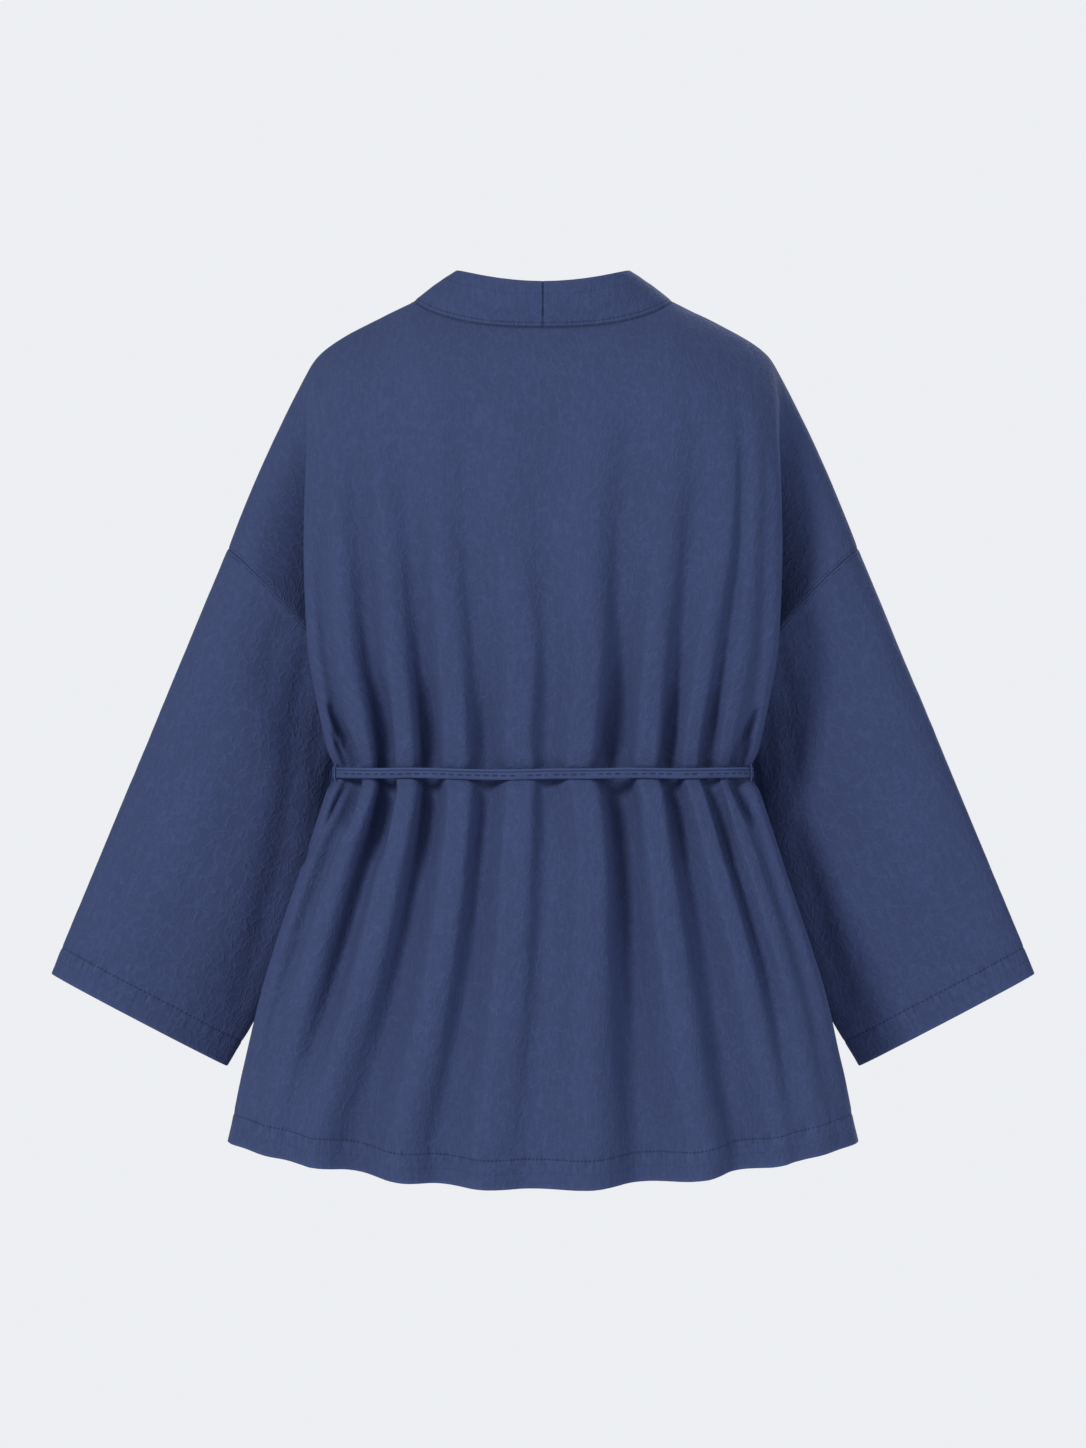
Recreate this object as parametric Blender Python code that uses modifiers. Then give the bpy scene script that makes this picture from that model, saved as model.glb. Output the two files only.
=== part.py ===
"""A short blue wrap jacket in the kimono cut, filled out as on a figure and tied at the waist.

Metres, +Z up. The wearer faces -Y, so the back looks to +Y and the wearer's left is +X.
The origin is the middle of the neck base, level with the tops of the shoulders.
Each cut piece is a wall of cloth whose outer face is worked out from the tables below.
"""

import math
from bisect import bisect
from collections import namedtuple
from functools import lru_cache

import bpy
from mathutils import Vector

# Cloth and seams
WALL = 0.0018
BAND_WALL = 0.0024
SEAM = 0.0003

# Heights that name the rows: neck seam at the centre back, underarm, belt and hem
NECK = -0.025
UNDERARM = -0.370
BELT = -0.408
SKIRT = -0.430
HEM = -0.765

# Neck and shoulder
NECK_HALF = 0.112
NECK_POWER = 2.6
NECK_FLATNESS = 0.77
ROUNDING = 0.090

# Armhole: top of the arm, underarm, half depth and the bow of the seam towards the neck
ARM_TOP = Vector((0.273, 0.0, -0.214))
ARM_UNDER = Vector((0.156, -0.006, -0.350))
ARM_DEPTH = 0.054
ARM_FLATTER = 0.8
ARM_BOW = 0.008

# Cuff: its outer corner and half depth
CUFF_TOP = Vector((0.4268, -0.020, -0.582))
CUFF_DEPTH = 0.025
CUFF_FLATTER = 0.2

# Side folds of the back and the front above the underarm
SIDE_VALLEY_IN = 0.022
SIDE_VALLEY_Y = 0.008
SIDE_VALLEY_UNDER = 0.023
SHOULDER_BULGE = Vector((0.003, 0.0, 0.001))
FRONT_EDGE = 0.186
FRONT_EDGE_SHARE = 0.45
FRONT_VALLEY_IN = 0.012
FRONT_VALLEY_Y = -0.014
FRONT_VALLEY_UNDER = -0.036
VALLEY_FORMED_BY = 0.35
VALLEY_TUCKS_FROM = 0.55
VALLEY_TUCKS_OVER = 0.35
FRONT_FOLD_SHARPNESS = 1.25

# Heights at which the section, and then the side panels, begin to close below the sleeve
SECTION_CLOSES = -0.300
SECTION_CLOSES_OVER = 0.085
PANEL_CLOSES = -0.335
PANEL_CLOSES_OVER = 0.065

# Section shapes: the back is a rounded box, the sides and front close it as a D
BACK_POWER = 2.3
FRONT_POWER = 1.7
SEAM_ANGLE = math.radians(25)
FRONT_ANGLE = math.radians(44)
SEAM_HEM_X = 0.260
FRONT_HEM_X = 0.205
SIDE_PULL = 0.010
SIDE_PULL_HEM = 0.003
SLOPE_STEP = 0.004

# The hem's wave from the centre to the sides
HEM_CENTRE_RISE = 0.003
HEM_SIDE_RISE = 0.038
HEM_SIDE_X = 0.271
HEM_POWER = 2.2
HEM_VALLEY_RISE = 0.003

# Wrap of the fronts, and the pinch that the belt makes
LAP = 0.006
LAP_FULL = 0.075
LAP_END = 0.135
PINCH = 0.004
PINCH_HEIGHT = 0.009

# Neckband
BAND = 0.039
BAND_CENTRE_TOP = 0.0138
BAND_SIDE_TOP = 0.0262
BAND_LEAN = 0.68
BAND_FORWARD = 0.92
BAND_LAID = 0.100

# Belt, its knot, tails and loops
BELT_HALF = 0.0045
BELT_WALL = 0.0020
BELT_CLEAR = 0.0017
BELT_STEPS = 18
KNOT = Vector((0.024, 0.012, 0.018))
KNOT_ROUNDING = 0.0035
TAIL_LENGTH = 0.250
TAIL_CLEAR = 0.0016
TAIL_START_X = 0.0055
TAIL_SPREAD = 0.024
TAIL_SPREAD_POWER = 1.3
LOOP_HALF = 0.0011
LOOP_WALL = 0.0010
LOOP_RISE = 0.0085
LOOP_CLEAR = 0.0041
LOOP_OVERHANG = 0.0012
LOOP_AT = 0.985
LOOP_BESIDE = 0.97

# Finish
CLOTH_BLUE = (0.045, 0.066, 0.158, 1.0)
CLOTH_ROUGHNESS = 0.9
SHARP_ANGLE = math.radians(50)

# One row for each height: half width at the back's side fold, depth of the centre back,
# of the side fold and of the centre front
Level = namedtuple("Level", "z edge_x back_y edge_y front_y")
LEVELS = (
    Level(0.000, 0.2000, 0.088, 0.036, -0.070),
    Level(-0.062, 0.2030, 0.096, 0.044, -0.084),
    Level(-0.105, 0.2035, 0.104, 0.050, -0.098),
    Level(-0.150, 0.2050, 0.111, 0.057, -0.112),
    Level(-0.208, 0.2055, 0.117, 0.062, -0.124),
    Level(-0.260, 0.2040, 0.115, 0.064, -0.125),
    Level(-0.303, 0.2010, 0.110, 0.062, -0.120),
    Level(-0.345, 0.1945, 0.103, 0.054, -0.111),
    Level(-0.381, 0.1875, 0.097, 0.042, -0.102),
    Level(-0.408, 0.1810, 0.093, 0.032, -0.094),
    Level(-0.424, 0.1870, 0.098, 0.036, -0.099),
    Level(-0.483, 0.2060, 0.112, 0.046, -0.112),
    Level(-0.587, 0.2400, 0.128, 0.054, -0.126),
    Level(-0.655, 0.2560, 0.134, 0.056, -0.132),
    Level(-0.724, 0.2710, 0.138, 0.058, -0.136),
    Level(-0.765, 0.2790, 0.140, 0.058, -0.138),
)

# One row for each ridge of the back between its two side folds: x at each named height,
# and how deep the valley on its right is, as a share of the depth at that height
Ridge = namedtuple("Ridge", "neck blade chest rib above belt below hip thigh hem valley")
RIDGE_HEIGHTS = (-0.025, -0.105, -0.208, -0.303, -0.380, -0.408, -0.424, -0.483, -0.587, -0.724)
VALLEY_DEPTHS = (0.000, 0.002, 0.007, 0.013, 0.019, 0.0130, 0.0175, 0.0198, 0.0202, 0.0205)
LEFT_VALLEY = 0.5
RIDGES = (
    Ridge(0.172, 0.178, 0.178, 0.172, 0.157, 0.153, 0.152, 0.176, 0.206, 0.238, 1.00),
    Ridge(0.134, 0.143, 0.135, 0.128, 0.120, 0.120, 0.119, 0.131, 0.157, 0.199, 0.95),
    Ridge(0.090, 0.093, 0.088, 0.082, 0.077, 0.077, 0.073, 0.077, 0.091, 0.120, 0.80),
    Ridge(0.030, 0.023, 0.028, 0.020, 0.022, 0.018, 0.021, 0.026, 0.032, 0.048, 0.75),
    Ridge(-0.030, -0.050, -0.042, -0.040, -0.033, -0.029, -0.036, -0.043, -0.042, -0.043, 1.10),
    Ridge(-0.090, -0.110, -0.107, -0.097, -0.092, -0.090, -0.095, -0.101, -0.116, -0.141, 0.85),
    Ridge(-0.134, -0.160, -0.160, -0.142, -0.129, -0.127, -0.133, -0.150, -0.179, -0.208, 0.85),
    Ridge(-0.172, -0.184, -0.181, -0.173, -0.158, -0.157, -0.160, -0.180, -0.212, -0.242, 0.50),
)
RIDGE_COUNT = len(RIDGES) + 2

# One row for each place across a back fold, from one ridge to the next: it drops fast beside
# the ridge and climbs slowly
Profile = namedtuple("Profile", "share sink")
FOLD_PROFILE = (
    Profile(0.00, 0.00),
    Profile(0.17, 0.05),
    Profile(0.27, 0.45),
    Profile(0.38, 0.94),
    Profile(0.54, 1.00),
    Profile(0.70, 0.66),
    Profile(0.84, 0.12),
    Profile(1.00, 0.00),
)
FOLD_STEPS = len(FOLD_PROFILE) - 1

# Places in the order of the ridges: the centre back, and the neck points on the left and right
CENTRE_FOLD = 4.5
NECK_FOLD = 2.5
NECK_FOLD_RIGHT = 6.5

# One row for each height of the wrapped front's seam with its neckband: x on the left front
Edge = namedtuple("Edge", "z x")
FRONT_SEAM = (
    Edge(0.000, 0.112),
    Edge(-0.020, 0.108),
    Edge(-0.050, 0.097),
    Edge(-0.100, 0.076),
    Edge(-0.150, 0.054),
    Edge(-0.200, 0.032),
    Edge(-0.250, 0.011),
    Edge(-0.300, -0.008),
    Edge(-0.350, -0.021),
    Edge(-0.408, -0.029),
    Edge(-0.500, -0.033),
    Edge(-0.765, -0.040),
)

# One row for each fold of a front, from the centre front to its side fold: its depth, as a share
FRONT_VALLEYS = (0.20, 0.45, 0.75, 0.55)
FRONT_DEPTHS = (0.000, 0.002, 0.006, 0.011, 0.015, 0.009, 0.015, 0.017, 0.017, 0.018)

# The shoulder from the neck point to the top of the arm
Shoulder = namedtuple("Shoulder", "x z")
SHOULDER = (
    Shoulder(0.112, 0.000),
    Shoulder(0.137, -0.012),
    Shoulder(0.170, -0.029),
    Shoulder(0.194, -0.046),
    Shoulder(0.206, -0.064),
    Shoulder(0.220, -0.089),
    Shoulder(0.242, -0.139),
    Shoulder(0.273, -0.214),
)

# The sleeve's lower edge from the underarm to the cuff
SleeveEdge = namedtuple("SleeveEdge", "share x y z")
SLEEVE_UNDER = (
    SleeveEdge(0.00, 0.156, -0.006, -0.350),
    SleeveEdge(0.18, 0.173, -0.030, -0.406),
    SleeveEdge(0.42, 0.189, -0.032, -0.486),
    SleeveEdge(0.74, 0.231, -0.034, -0.587),
    SleeveEdge(1.00, 0.2743, -0.036, -0.663),
)

# Where the mesh has its rows, columns and rings
ROWS = (
    -0.025, -0.033, -0.048, -0.072, -0.105, -0.150, -0.205, -0.260, -0.305, -0.342, -0.362, -0.370,
    -0.388, -0.4005, -0.408, -0.4155, -0.428, -0.450, -0.490, -0.540, -0.595, -0.655, -0.715, -0.765,
)
FRONT_FOLD_STEPS = 4
BAND_STATIONS = 8
BAND_STEPS = 5
SIDE_STEPS = 5
SLEEVE_SHARES = (0.0, 0.05, 0.12, 0.22, 0.34, 0.46, 0.58, 0.70, 0.81, 0.90, 0.96, 1.0)
TAIL_ROWS = 12


def smoothstep(value):
    value = min(max(value, 0.0), 1.0)
    return value * value * (3.0 - 2.0 * value)


def mix(a, b, share):
    return a + (b - a) * share


def curve(knots, values, at):
    """A smooth curve through the values, read at one place. The knots rise or fall."""
    sign = 1.0 if knots[-1] > knots[0] else -1.0
    last = len(knots) - 1
    at = sign * min(max(sign * at, sign * knots[0]), sign * knots[-1])
    low = max(i for i in range(last) if sign * knots[i] <= sign * at)

    def slope(i):
        before, after = max(i - 1, 0), min(i + 1, last)
        return (values[after] - values[before]) / (knots[after] - knots[before])

    step = knots[low + 1] - knots[low]
    t = (at - knots[low]) / step
    rise = values[low + 1] - values[low]
    start, end = slope(low) * step, slope(low + 1) * step
    return values[low] + t * (start + t * (3 * rise - 2 * start - end + t * (start + end - 2 * rise)))


def read(table, key, column, at):
    return curve([getattr(row, key) for row in table], [getattr(row, column) for row in table], at)


def bump(z):
    return math.exp(-(((z - BELT) / PINCH_HEIGHT) ** 2))


@lru_cache(maxsize=None)
def level(z):
    """The section's sizes at a height, drawn in where the belt pinches it."""
    pinch = PINCH * bump(z)
    return Level(
        z,
        read(LEVELS, "z", "edge_x", z) - pinch,
        read(LEVELS, "z", "back_y", z) - pinch,
        read(LEVELS, "z", "edge_y", z),
        read(LEVELS, "z", "front_y", z) + pinch,
    )


def ridge_line(x):
    """Height of the shoulder's top at a distance from the centre."""
    x = abs(x)
    if x <= NECK_HALF:
        return 0.0
    return read(SHOULDER, "x", "z", x)


def neckline(x):
    """Height of the back's upper edge: the neck seam, then the shoulder."""
    share = abs(x) / NECK_HALF
    if share >= 1.0:
        return ridge_line(x)
    return NECK * (1.0 - share**NECK_POWER) ** NECK_FLATNESS


def hem_height(x):
    return HEM + HEM_CENTRE_RISE + HEM_SIDE_RISE * (abs(x) / HEM_SIDE_X) ** HEM_POWER


def skirt_share(row):
    """0 above the skirt, 1 on the hem."""
    return max(0.0, (SKIRT - row) / (SKIRT - HEM))


def settled(top, row, hem_x):
    """Real height of a row on a column that starts at top and ends on the hem at hem_x."""
    if row >= UNDERARM:
        return mix(top, UNDERARM, (row - NECK) / (UNDERARM - NECK))
    return row + skirt_share(row) * (hem_height(hem_x) - HEM)


def over_shoulder(x, z):
    """How far the cloth has come round from the shoulder's top: 0 on it, 1 below the rounding."""
    down = min(max((ridge_line(x) - z) / ROUNDING, 0.0), 1.0)
    return math.sqrt(1.0 - (1.0 - down) ** 2)


def upper_share(row):
    return min((row - NECK) / (UNDERARM - NECK), 1.0)


def closing_share(row):
    """0 where the sleeve opens the side, 1 where side seams close it."""
    return smoothstep((SECTION_CLOSES - row) / SECTION_CLOSES_OVER)


def side_closing_share(row):
    """The same for the side panels themselves, which hang clear of the sleeve to the underarm."""
    return smoothstep((PANEL_CLOSES - row) / PANEL_CLOSES_OVER)


def arm_angle(row):
    """Where a row meets the armhole ring: 0 at the top of the arm, pi at the underarm."""
    return math.acos(1.0 - 2.0 * upper_share(row))


def arm_section(angle, top, under, depth, bow, flatter):
    """A point of an arm's section between its upper and lower edges, thinner at the lower one."""
    half = (top - under) / 2
    across = Vector((-half.z, 0.0, half.x)).normalized()
    round_y = depth * math.sin(angle) * (1.0 - flatter * (1.0 - math.cos(angle)) / 2)
    across = across * bow * math.sin(angle) ** 2
    return (top + under) / 2 + half * math.cos(angle) + across + Vector((0.0, round_y, 0.0))


def armhole(angle):
    return arm_section(angle, ARM_TOP, ARM_UNDER, ARM_DEPTH, ARM_BOW, ARM_FLATTER)


def sleeve_axis():
    """The direction across the armhole seam, from the body to the sleeve."""
    along = (ARM_TOP - ARM_UNDER).normalized()
    return Vector((along.z, 0.0, -along.x)).normalized()


def sleeve_point(angle, share):
    under = Vector([read(SLEEVE_UNDER, "share", name, share) for name in ("x", "y", "z")])
    depth = mix(ARM_DEPTH, CUFF_DEPTH, smoothstep(share))
    flatter = mix(ARM_FLATTER, CUFF_FLATTER, smoothstep(share))
    bow = ARM_BOW * (1.0 - share)
    return arm_section(angle, ARM_TOP.lerp(CUFF_TOP, share), under, depth, bow, flatter)


def closed_side(z, angle):
    """A point of the D that closes the section: 0 at the back's side fold, pi/2 at the centre front."""
    size = level(z)
    x = size.edge_x * math.cos(angle) ** (2 / FRONT_POWER)
    y = size.edge_y - (size.edge_y - size.front_y) * math.sin(angle) ** (2 / FRONT_POWER)
    return Vector((x, y, z))


def pulled(point):
    """The point drawn in under the arm, where the side hangs inside the back's fold."""
    hang = smoothstep((point.z - HEM) / (UNDERARM - HEM))
    return point - Vector((mix(SIDE_PULL_HEM, SIDE_PULL, hang), 0.0, 0.0))


def side_path(start, valley, end, share):
    """A bend from start to end that passes through the valley half way."""
    pull = valley * 2 - (start + end) / 2
    return start * (1 - share) ** 2 + pull * 2 * share * (1 - share) + end * share**2


def side_seam(row):
    """The panel's outer edge: the armhole down to the underarm, then the side seam."""
    if row >= UNDERARM:
        return armhole(arm_angle(row))
    return pulled(closed_side(settled(0.0, row, SEAM_HEM_X), SEAM_ANGLE))


def front_side_seam(row):
    point = side_seam(row)
    if row >= UNDERARM:
        middle = mix(ARM_TOP.y, ARM_UNDER.y, upper_share(row))
        point.y = 2 * middle - point.y
    return point


def valley_y(row, above, at_underarm):
    tuck = smoothstep((upper_share(row) - VALLEY_TUCKS_FROM) / VALLEY_TUCKS_OVER)
    return mix(above, at_underarm, tuck)


def valley_share(row):
    return smoothstep(upper_share(row) / VALLEY_FORMED_BY)


def ridge_x(fold, height):
    """x of a ridge of the back, in order from the wearer's left side fold to the right one."""
    if fold in (0, RIDGE_COUNT - 1):
        return level(height).edge_x * (1 if fold == 0 else -1)
    return curve(RIDGE_HEIGHTS, RIDGES[fold - 1][: len(RIDGE_HEIGHTS)], height)


def column_x(fold, height):
    low = min(int(fold), RIDGE_COUNT - 2)
    return mix(ridge_x(low, height), ridge_x(low + 1, height), fold - low)


def fold_wave(fold):
    """0 on a ridge, 1 at the bottom of a full valley."""
    low = min(int(fold), RIDGE_COUNT - 2)
    valley = LEFT_VALLEY if low == 0 else RIDGES[low - 1].valley
    return valley * read(FOLD_PROFILE, "share", "sink", fold - low)


def fold_sink(fold, z):
    """How far the cloth lies inside its ridges, on the back."""
    return fold_wave(fold) * curve(RIDGE_HEIGHTS, VALLEY_DEPTHS, z)


def back_hull(place, z):
    """Depth of the back's ridges at a share of its half width."""
    size = level(z)
    rounded = max(1.0 - abs(place) ** BACK_POWER, 0.0) ** (1 / BACK_POWER)
    return size.edge_y + (size.back_y - size.edge_y) * rounded


def back_point(fold, row):
    top_x = column_x(fold, NECK)
    z = settled(neckline(top_x), row, column_x(fold, RIDGE_HEIGHTS[-1]))
    z += HEM_VALLEY_RISE * fold_wave(fold) * skirt_share(row)
    height = row if row > SKIRT else z
    half = level(height).edge_x
    x = column_x(fold, height)
    place = x / half
    inner = max(min(place, 1 - SLOPE_STEP), SLOPE_STEP - 1)
    rise = back_hull(inner + SLOPE_STEP, z) - back_hull(inner - SLOPE_STEP, z)
    slope = rise / (2 * SLOPE_STEP * half)
    outward = Vector((-slope, 1.0, 0.0)).normalized()
    point = Vector((x, back_hull(place, z), z)) - outward * fold_sink(fold, z)
    point.y *= over_shoulder(x, z)
    return point


def back_side_point(side, share, row):
    """The back beyond its side fold, to the armhole or the side seam. side is 1 or -1."""
    start = back_point(0 if side > 0 else RIDGE_COUNT - 1, row)
    start.x = abs(start.x)
    end = side_seam(row)
    ridge = (start + end) / 2 + SHOULDER_BULGE * (1 - upper_share(row))
    depth = valley_y(row, SIDE_VALLEY_Y, SIDE_VALLEY_UNDER)
    valley = Vector((start.x - SIDE_VALLEY_IN, depth, ridge.z))
    valley = ridge.lerp(valley, valley_share(row))
    valley = valley.lerp(pulled(closed_side(start.z, SEAM_ANGLE / 2)), side_closing_share(row))
    point = side_path(start, valley, end, share)
    point.x *= side
    return point


def front_hull(x, z):
    """Depth of the fronts' ridges: a chest above the underarm, the D of the section below it."""
    size = level(z)
    edge_y = FRONT_EDGE_SHARE * size.front_y
    chest = max(1.0 - (abs(x) / FRONT_EDGE) ** BACK_POWER, 0.0) ** (1 / BACK_POWER)
    chest_y = edge_y + (size.front_y - edge_y) * chest
    closed = max(1.0 - (abs(x) / size.edge_x) ** FRONT_POWER, 0.0) ** (1 / FRONT_POWER)
    closed_y = size.edge_y + (size.front_y - size.edge_y) * closed
    return mix(chest_y, closed_y, closing_share(z)) * over_shoulder(x, z)


def lap_lift(x, over):
    """Outward shift of a front where it crosses the other: over is 1 for the one on top."""
    return (LAP / 2) * over * smoothstep((LAP_END - x) / (LAP_END - LAP_FULL))


def front_edge_x(row):
    """x of a front where its side part ends and its chest begins."""
    height = row if row > SKIRT else settled(0.0, row, FRONT_HEM_X)
    chest = mix(level(NECK).edge_x, FRONT_EDGE, valley_share(row))
    return mix(chest, closed_side(height, FRONT_ANGLE).x, closing_share(row))


def front_sink(x, z):
    """How far the cloth lies inside its ridges, on both fronts alike, so that they wrap."""
    width = mix(FRONT_EDGE, closed_side(z, FRONT_ANGLE).x, closing_share(z))
    place = abs(x) / width * len(FRONT_VALLEYS)
    fold = min(int(place), len(FRONT_VALLEYS) - 1)
    wave = ((1 - math.cos(math.tau * min(place - fold, 1.0))) / 2) ** FRONT_FOLD_SHARPNESS
    depth = FRONT_VALLEYS[fold] * curve(RIDGE_HEIGHTS, FRONT_DEPTHS, z)
    return depth * wave * over_shoulder(x, z)


def front_face(x, z, over):
    """Depth of a front or its neckband, with its folds and its place in the wrap."""
    return front_hull(x, z) + front_sink(x, z) - lap_lift(x, over) * over_shoulder(x, z)


def front_point(side, over, share, row):
    """A front from its side fold (0) to its seam with the neckband (1)."""
    top_x = mix(level(NECK).edge_x, NECK_HALF, share)
    hem_x = mix(FRONT_HEM_X, FRONT_SEAM[-1].x, share)
    z = settled(ridge_line(top_x), row, hem_x)
    seam_x = read(FRONT_SEAM, "z", "x", settled(0.0, row, FRONT_SEAM[-1].x))
    x = mix(front_edge_x(row), seam_x, share)
    return Vector((x * side, front_face(x, z, over), z))


def front_side_point(side, over, share, row):
    """A front beyond its side fold, to the armhole or the side seam."""
    start = front_point(1, over, 0.0, row)
    end = front_side_seam(row)
    ridge = (start + end) / 2 + SHOULDER_BULGE * (1 - upper_share(row))
    depth = valley_y(row, FRONT_VALLEY_Y, FRONT_VALLEY_UNDER)
    valley = Vector((start.x - FRONT_VALLEY_IN, depth, ridge.z))
    valley = ridge.lerp(valley, valley_share(row))
    middle = pulled(closed_side(start.z, (SEAM_ANGLE + FRONT_ANGLE) / 2))
    valley = valley.lerp(middle, side_closing_share(row))
    point = side_path(start, valley, end, share)
    point.x *= side
    return point


def normal_at(grid, i, j, around):
    """The outward direction at a point of a grid, whose columns may run round a tube."""
    last_row, last = len(grid) - 1, len(grid[0]) - 1
    down = grid[min(i + 1, last_row)][j] - grid[max(i - 1, 0)][j]
    if around:
        across = grid[i][(j + 1) % (last + 1)] - grid[i][j - 1]
    else:
        across = grid[i][min(j + 1, last)] - grid[i][max(j - 1, 0)]
    return down.cross(across).normalized()


def walled(grid, thickness, around=False, neighbours=None):
    """The inner points of a wall. At a seam the wall doesn't lean over towards its neighbours,
    whose directions come from neighbours(row, column)."""
    inner = []
    for i, row in enumerate(grid):
        line = []
        for j, point in enumerate(row):
            normal = normal_at(grid, i, j, around)
            for way in neighbours(i, j) if neighbours else ():
                normal = (normal - way * min(normal.dot(way), 0.0)).normalized()
            line.append(point - normal * thickness)
        inner.append(line)
    return inner


def cloth_wall(name, outer, inner, around=False):
    """A closed wall between an outer and an inner grid of the same shape."""
    rows, columns = len(outer), len(outer[0])
    points = [point for grid in (outer, inner) for row in grid for point in row]
    back = rows * columns
    spans = columns if around else columns - 1
    faces = []
    for i in range(rows - 1):
        for j in range(spans):
            after = (j + 1) % columns
            a, b = i * columns + j, i * columns + after
            c, d = b + columns, a + columns
            faces.append((a, d, c, b))
            faces.append((back + a, back + b, back + c, back + d))
    for j in range(spans):
        a, b = j, (j + 1) % columns
        faces.append((a, b, back + b, back + a))
        c, d = a + back - columns, b + back - columns
        faces.append((d, c, back + c, back + d))
    if not around:
        for i in range(rows - 1):
            a, d = i * columns, (i + 1) * columns
            faces.append((a, back + a, back + d, d))
            b, c = a + columns - 1, d + columns - 1
            faces.append((b, c, back + c, back + b))
    mesh = bpy.data.meshes.new(name)
    mesh.from_pydata(points, [], faces)
    return finished(name, mesh)


def finished(name, mesh):
    """Adds the mesh to the jacket, smooth, with its own cloth material."""
    mesh.validate()
    mesh.shade_smooth()
    mesh.set_sharp_from_angle(angle=SHARP_ANGLE)
    material = bpy.data.materials.new(name)
    material.use_nodes = True
    shader = material.node_tree.nodes["Principled BSDF"]
    shader.inputs["Base Color"].default_value = CLOTH_BLUE
    shader.inputs["Roughness"].default_value = CLOTH_ROUGHNESS
    shader.inputs["Metallic"].default_value = 0.0
    mesh.materials.append(material)
    piece = bpy.data.objects.new(name, mesh)
    bpy.data.collections["kimono_jacket"].objects.link(piece)
    return piece


def steps(count, start=0.0, end=1.0):
    return [mix(start, end, i / count) for i in range(count + 1)]


def panel_neighbours(other_panel, shoulders, arm_columns):
    """The directions from a panel's seam edges to the pieces sewn there: to the other panel on
    the shoulders and side seams, and along the sleeve's axis on the armholes.

    shoulders tells whether a column ends on the shoulder, and arm_columns gives the side of
    each column that ends at an armhole."""
    across = Vector((0.0, other_panel, 0.0))
    axis = sleeve_axis()
    underarm_row = ROWS.index(UNDERARM)

    def found(i, j):
        side = arm_columns.get(j)
        ways = []
        if (i == 0 and shoulders(j)) or (side and i >= underarm_row):
            ways.append(across)
        if side and i <= underarm_row:
            ways.append(Vector((axis.x * side, 0.0, axis.z)))
        return ways

    return found


def parted(grid, neighbours):
    """The panel with its seam edges drawn back by half the gap, so that pieces don't touch."""
    drawn = []
    for i, row in enumerate(grid):
        drawn.append([p - sum(neighbours(i, j), Vector()) * SEAM / 2 for j, p in enumerate(row)])
    return drawn


def make_back():
    shares = [row.share for row in FOLD_PROFILE[:-1]]
    columns = [low + share for low in range(RIDGE_COUNT - 1) for share in shares] + [RIDGE_COUNT - 1]
    sides = steps(SIDE_STEPS)
    grid = []
    for row in ROWS:
        left = [back_side_point(1, share, row) for share in reversed(sides[1:])]
        middle = [back_point(fold, row) for fold in columns]
        right = [back_side_point(-1, share, row) for share in sides[1:]]
        grid.append(left + middle + right)
    left_neck, right_neck = [SIDE_STEPS + bisect(columns, fold) for fold in (NECK_FOLD, NECK_FOLD_RIGHT)]
    arms = {0: 1, len(grid[0]) - 1: -1}
    neighbours = panel_neighbours(-1, lambda j: not left_neck < j < right_neck, arms)
    grid = parted(grid, neighbours)
    cloth_wall("back", grid, walled(grid, WALL, neighbours=neighbours))


def make_front(name, side, over):
    """A front, seen from outside with its columns running as the back's do."""
    columns = steps(len(FRONT_VALLEYS) * FRONT_FOLD_STEPS)
    sides = steps(SIDE_STEPS)
    ways = [band_way(front_station(number, over)) for number in range(len(ROWS))]
    ways = [Vector((way.x * side, way.y, way.z)) for way in ways]
    grid = []
    for row in ROWS:
        edge = [front_side_point(side, over, share, row) for share in reversed(sides[1:])]
        middle = [front_point(side, over, share, row) for share in columns]
        line = edge + middle
        grid.append(line if side < 0 else line[::-1])
    last = len(grid[0]) - 1
    arm_column, band_column = (0, last) if side < 0 else (last, 0)
    panels = panel_neighbours(1, lambda j: True, {arm_column: side})
    grid = parted(grid, panels)

    def neighbours(i, j):
        return panels(i, j) + ([ways[i]] if j == band_column and i > 0 else [])

    cloth_wall(name, grid, walled(grid, WALL, neighbours=neighbours))


def arm_angles():
    """The armhole's angles, where the panels' rows meet it, all the way round."""
    back_half = [arm_angle(row) for row in ROWS if row >= UNDERARM]
    return back_half + [math.tau - angle for angle in reversed(back_half[1:-1])]


def make_sleeve(name, side):
    axis = sleeve_axis()
    angles = arm_angles()
    grid = []
    for share in SLEEVE_SHARES:
        ring = [sleeve_point(angle, share) for angle in angles]
        if share == 0.0:
            ring = [point + axis * SEAM / 2 for point in ring]
        ring = [Vector((point.x * side, point.y, point.z)) for point in ring]
        grid.append(ring if side > 0 else ring[::-1])
    to_body = Vector((-axis.x * side, 0.0, -axis.z))
    inner = walled(grid, WALL, around=True, neighbours=lambda i, j: [to_body] if i == 0 else [])
    cloth_wall(name, grid, inner, around=True)


def neck_station(fold):
    """The neckband's points across it, from its seam with the back to its upper edge."""
    base = back_point(fold, NECK)
    rise = mix(BAND_CENTRE_TOP, BAND_SIDE_TOP, (base.x / NECK_HALF) ** 2)
    top = Vector((base.x * BAND_LEAN, base.y * BAND_FORWARD, rise))
    return [base.lerp(top, share) for share in steps(BAND_STEPS)]


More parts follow.
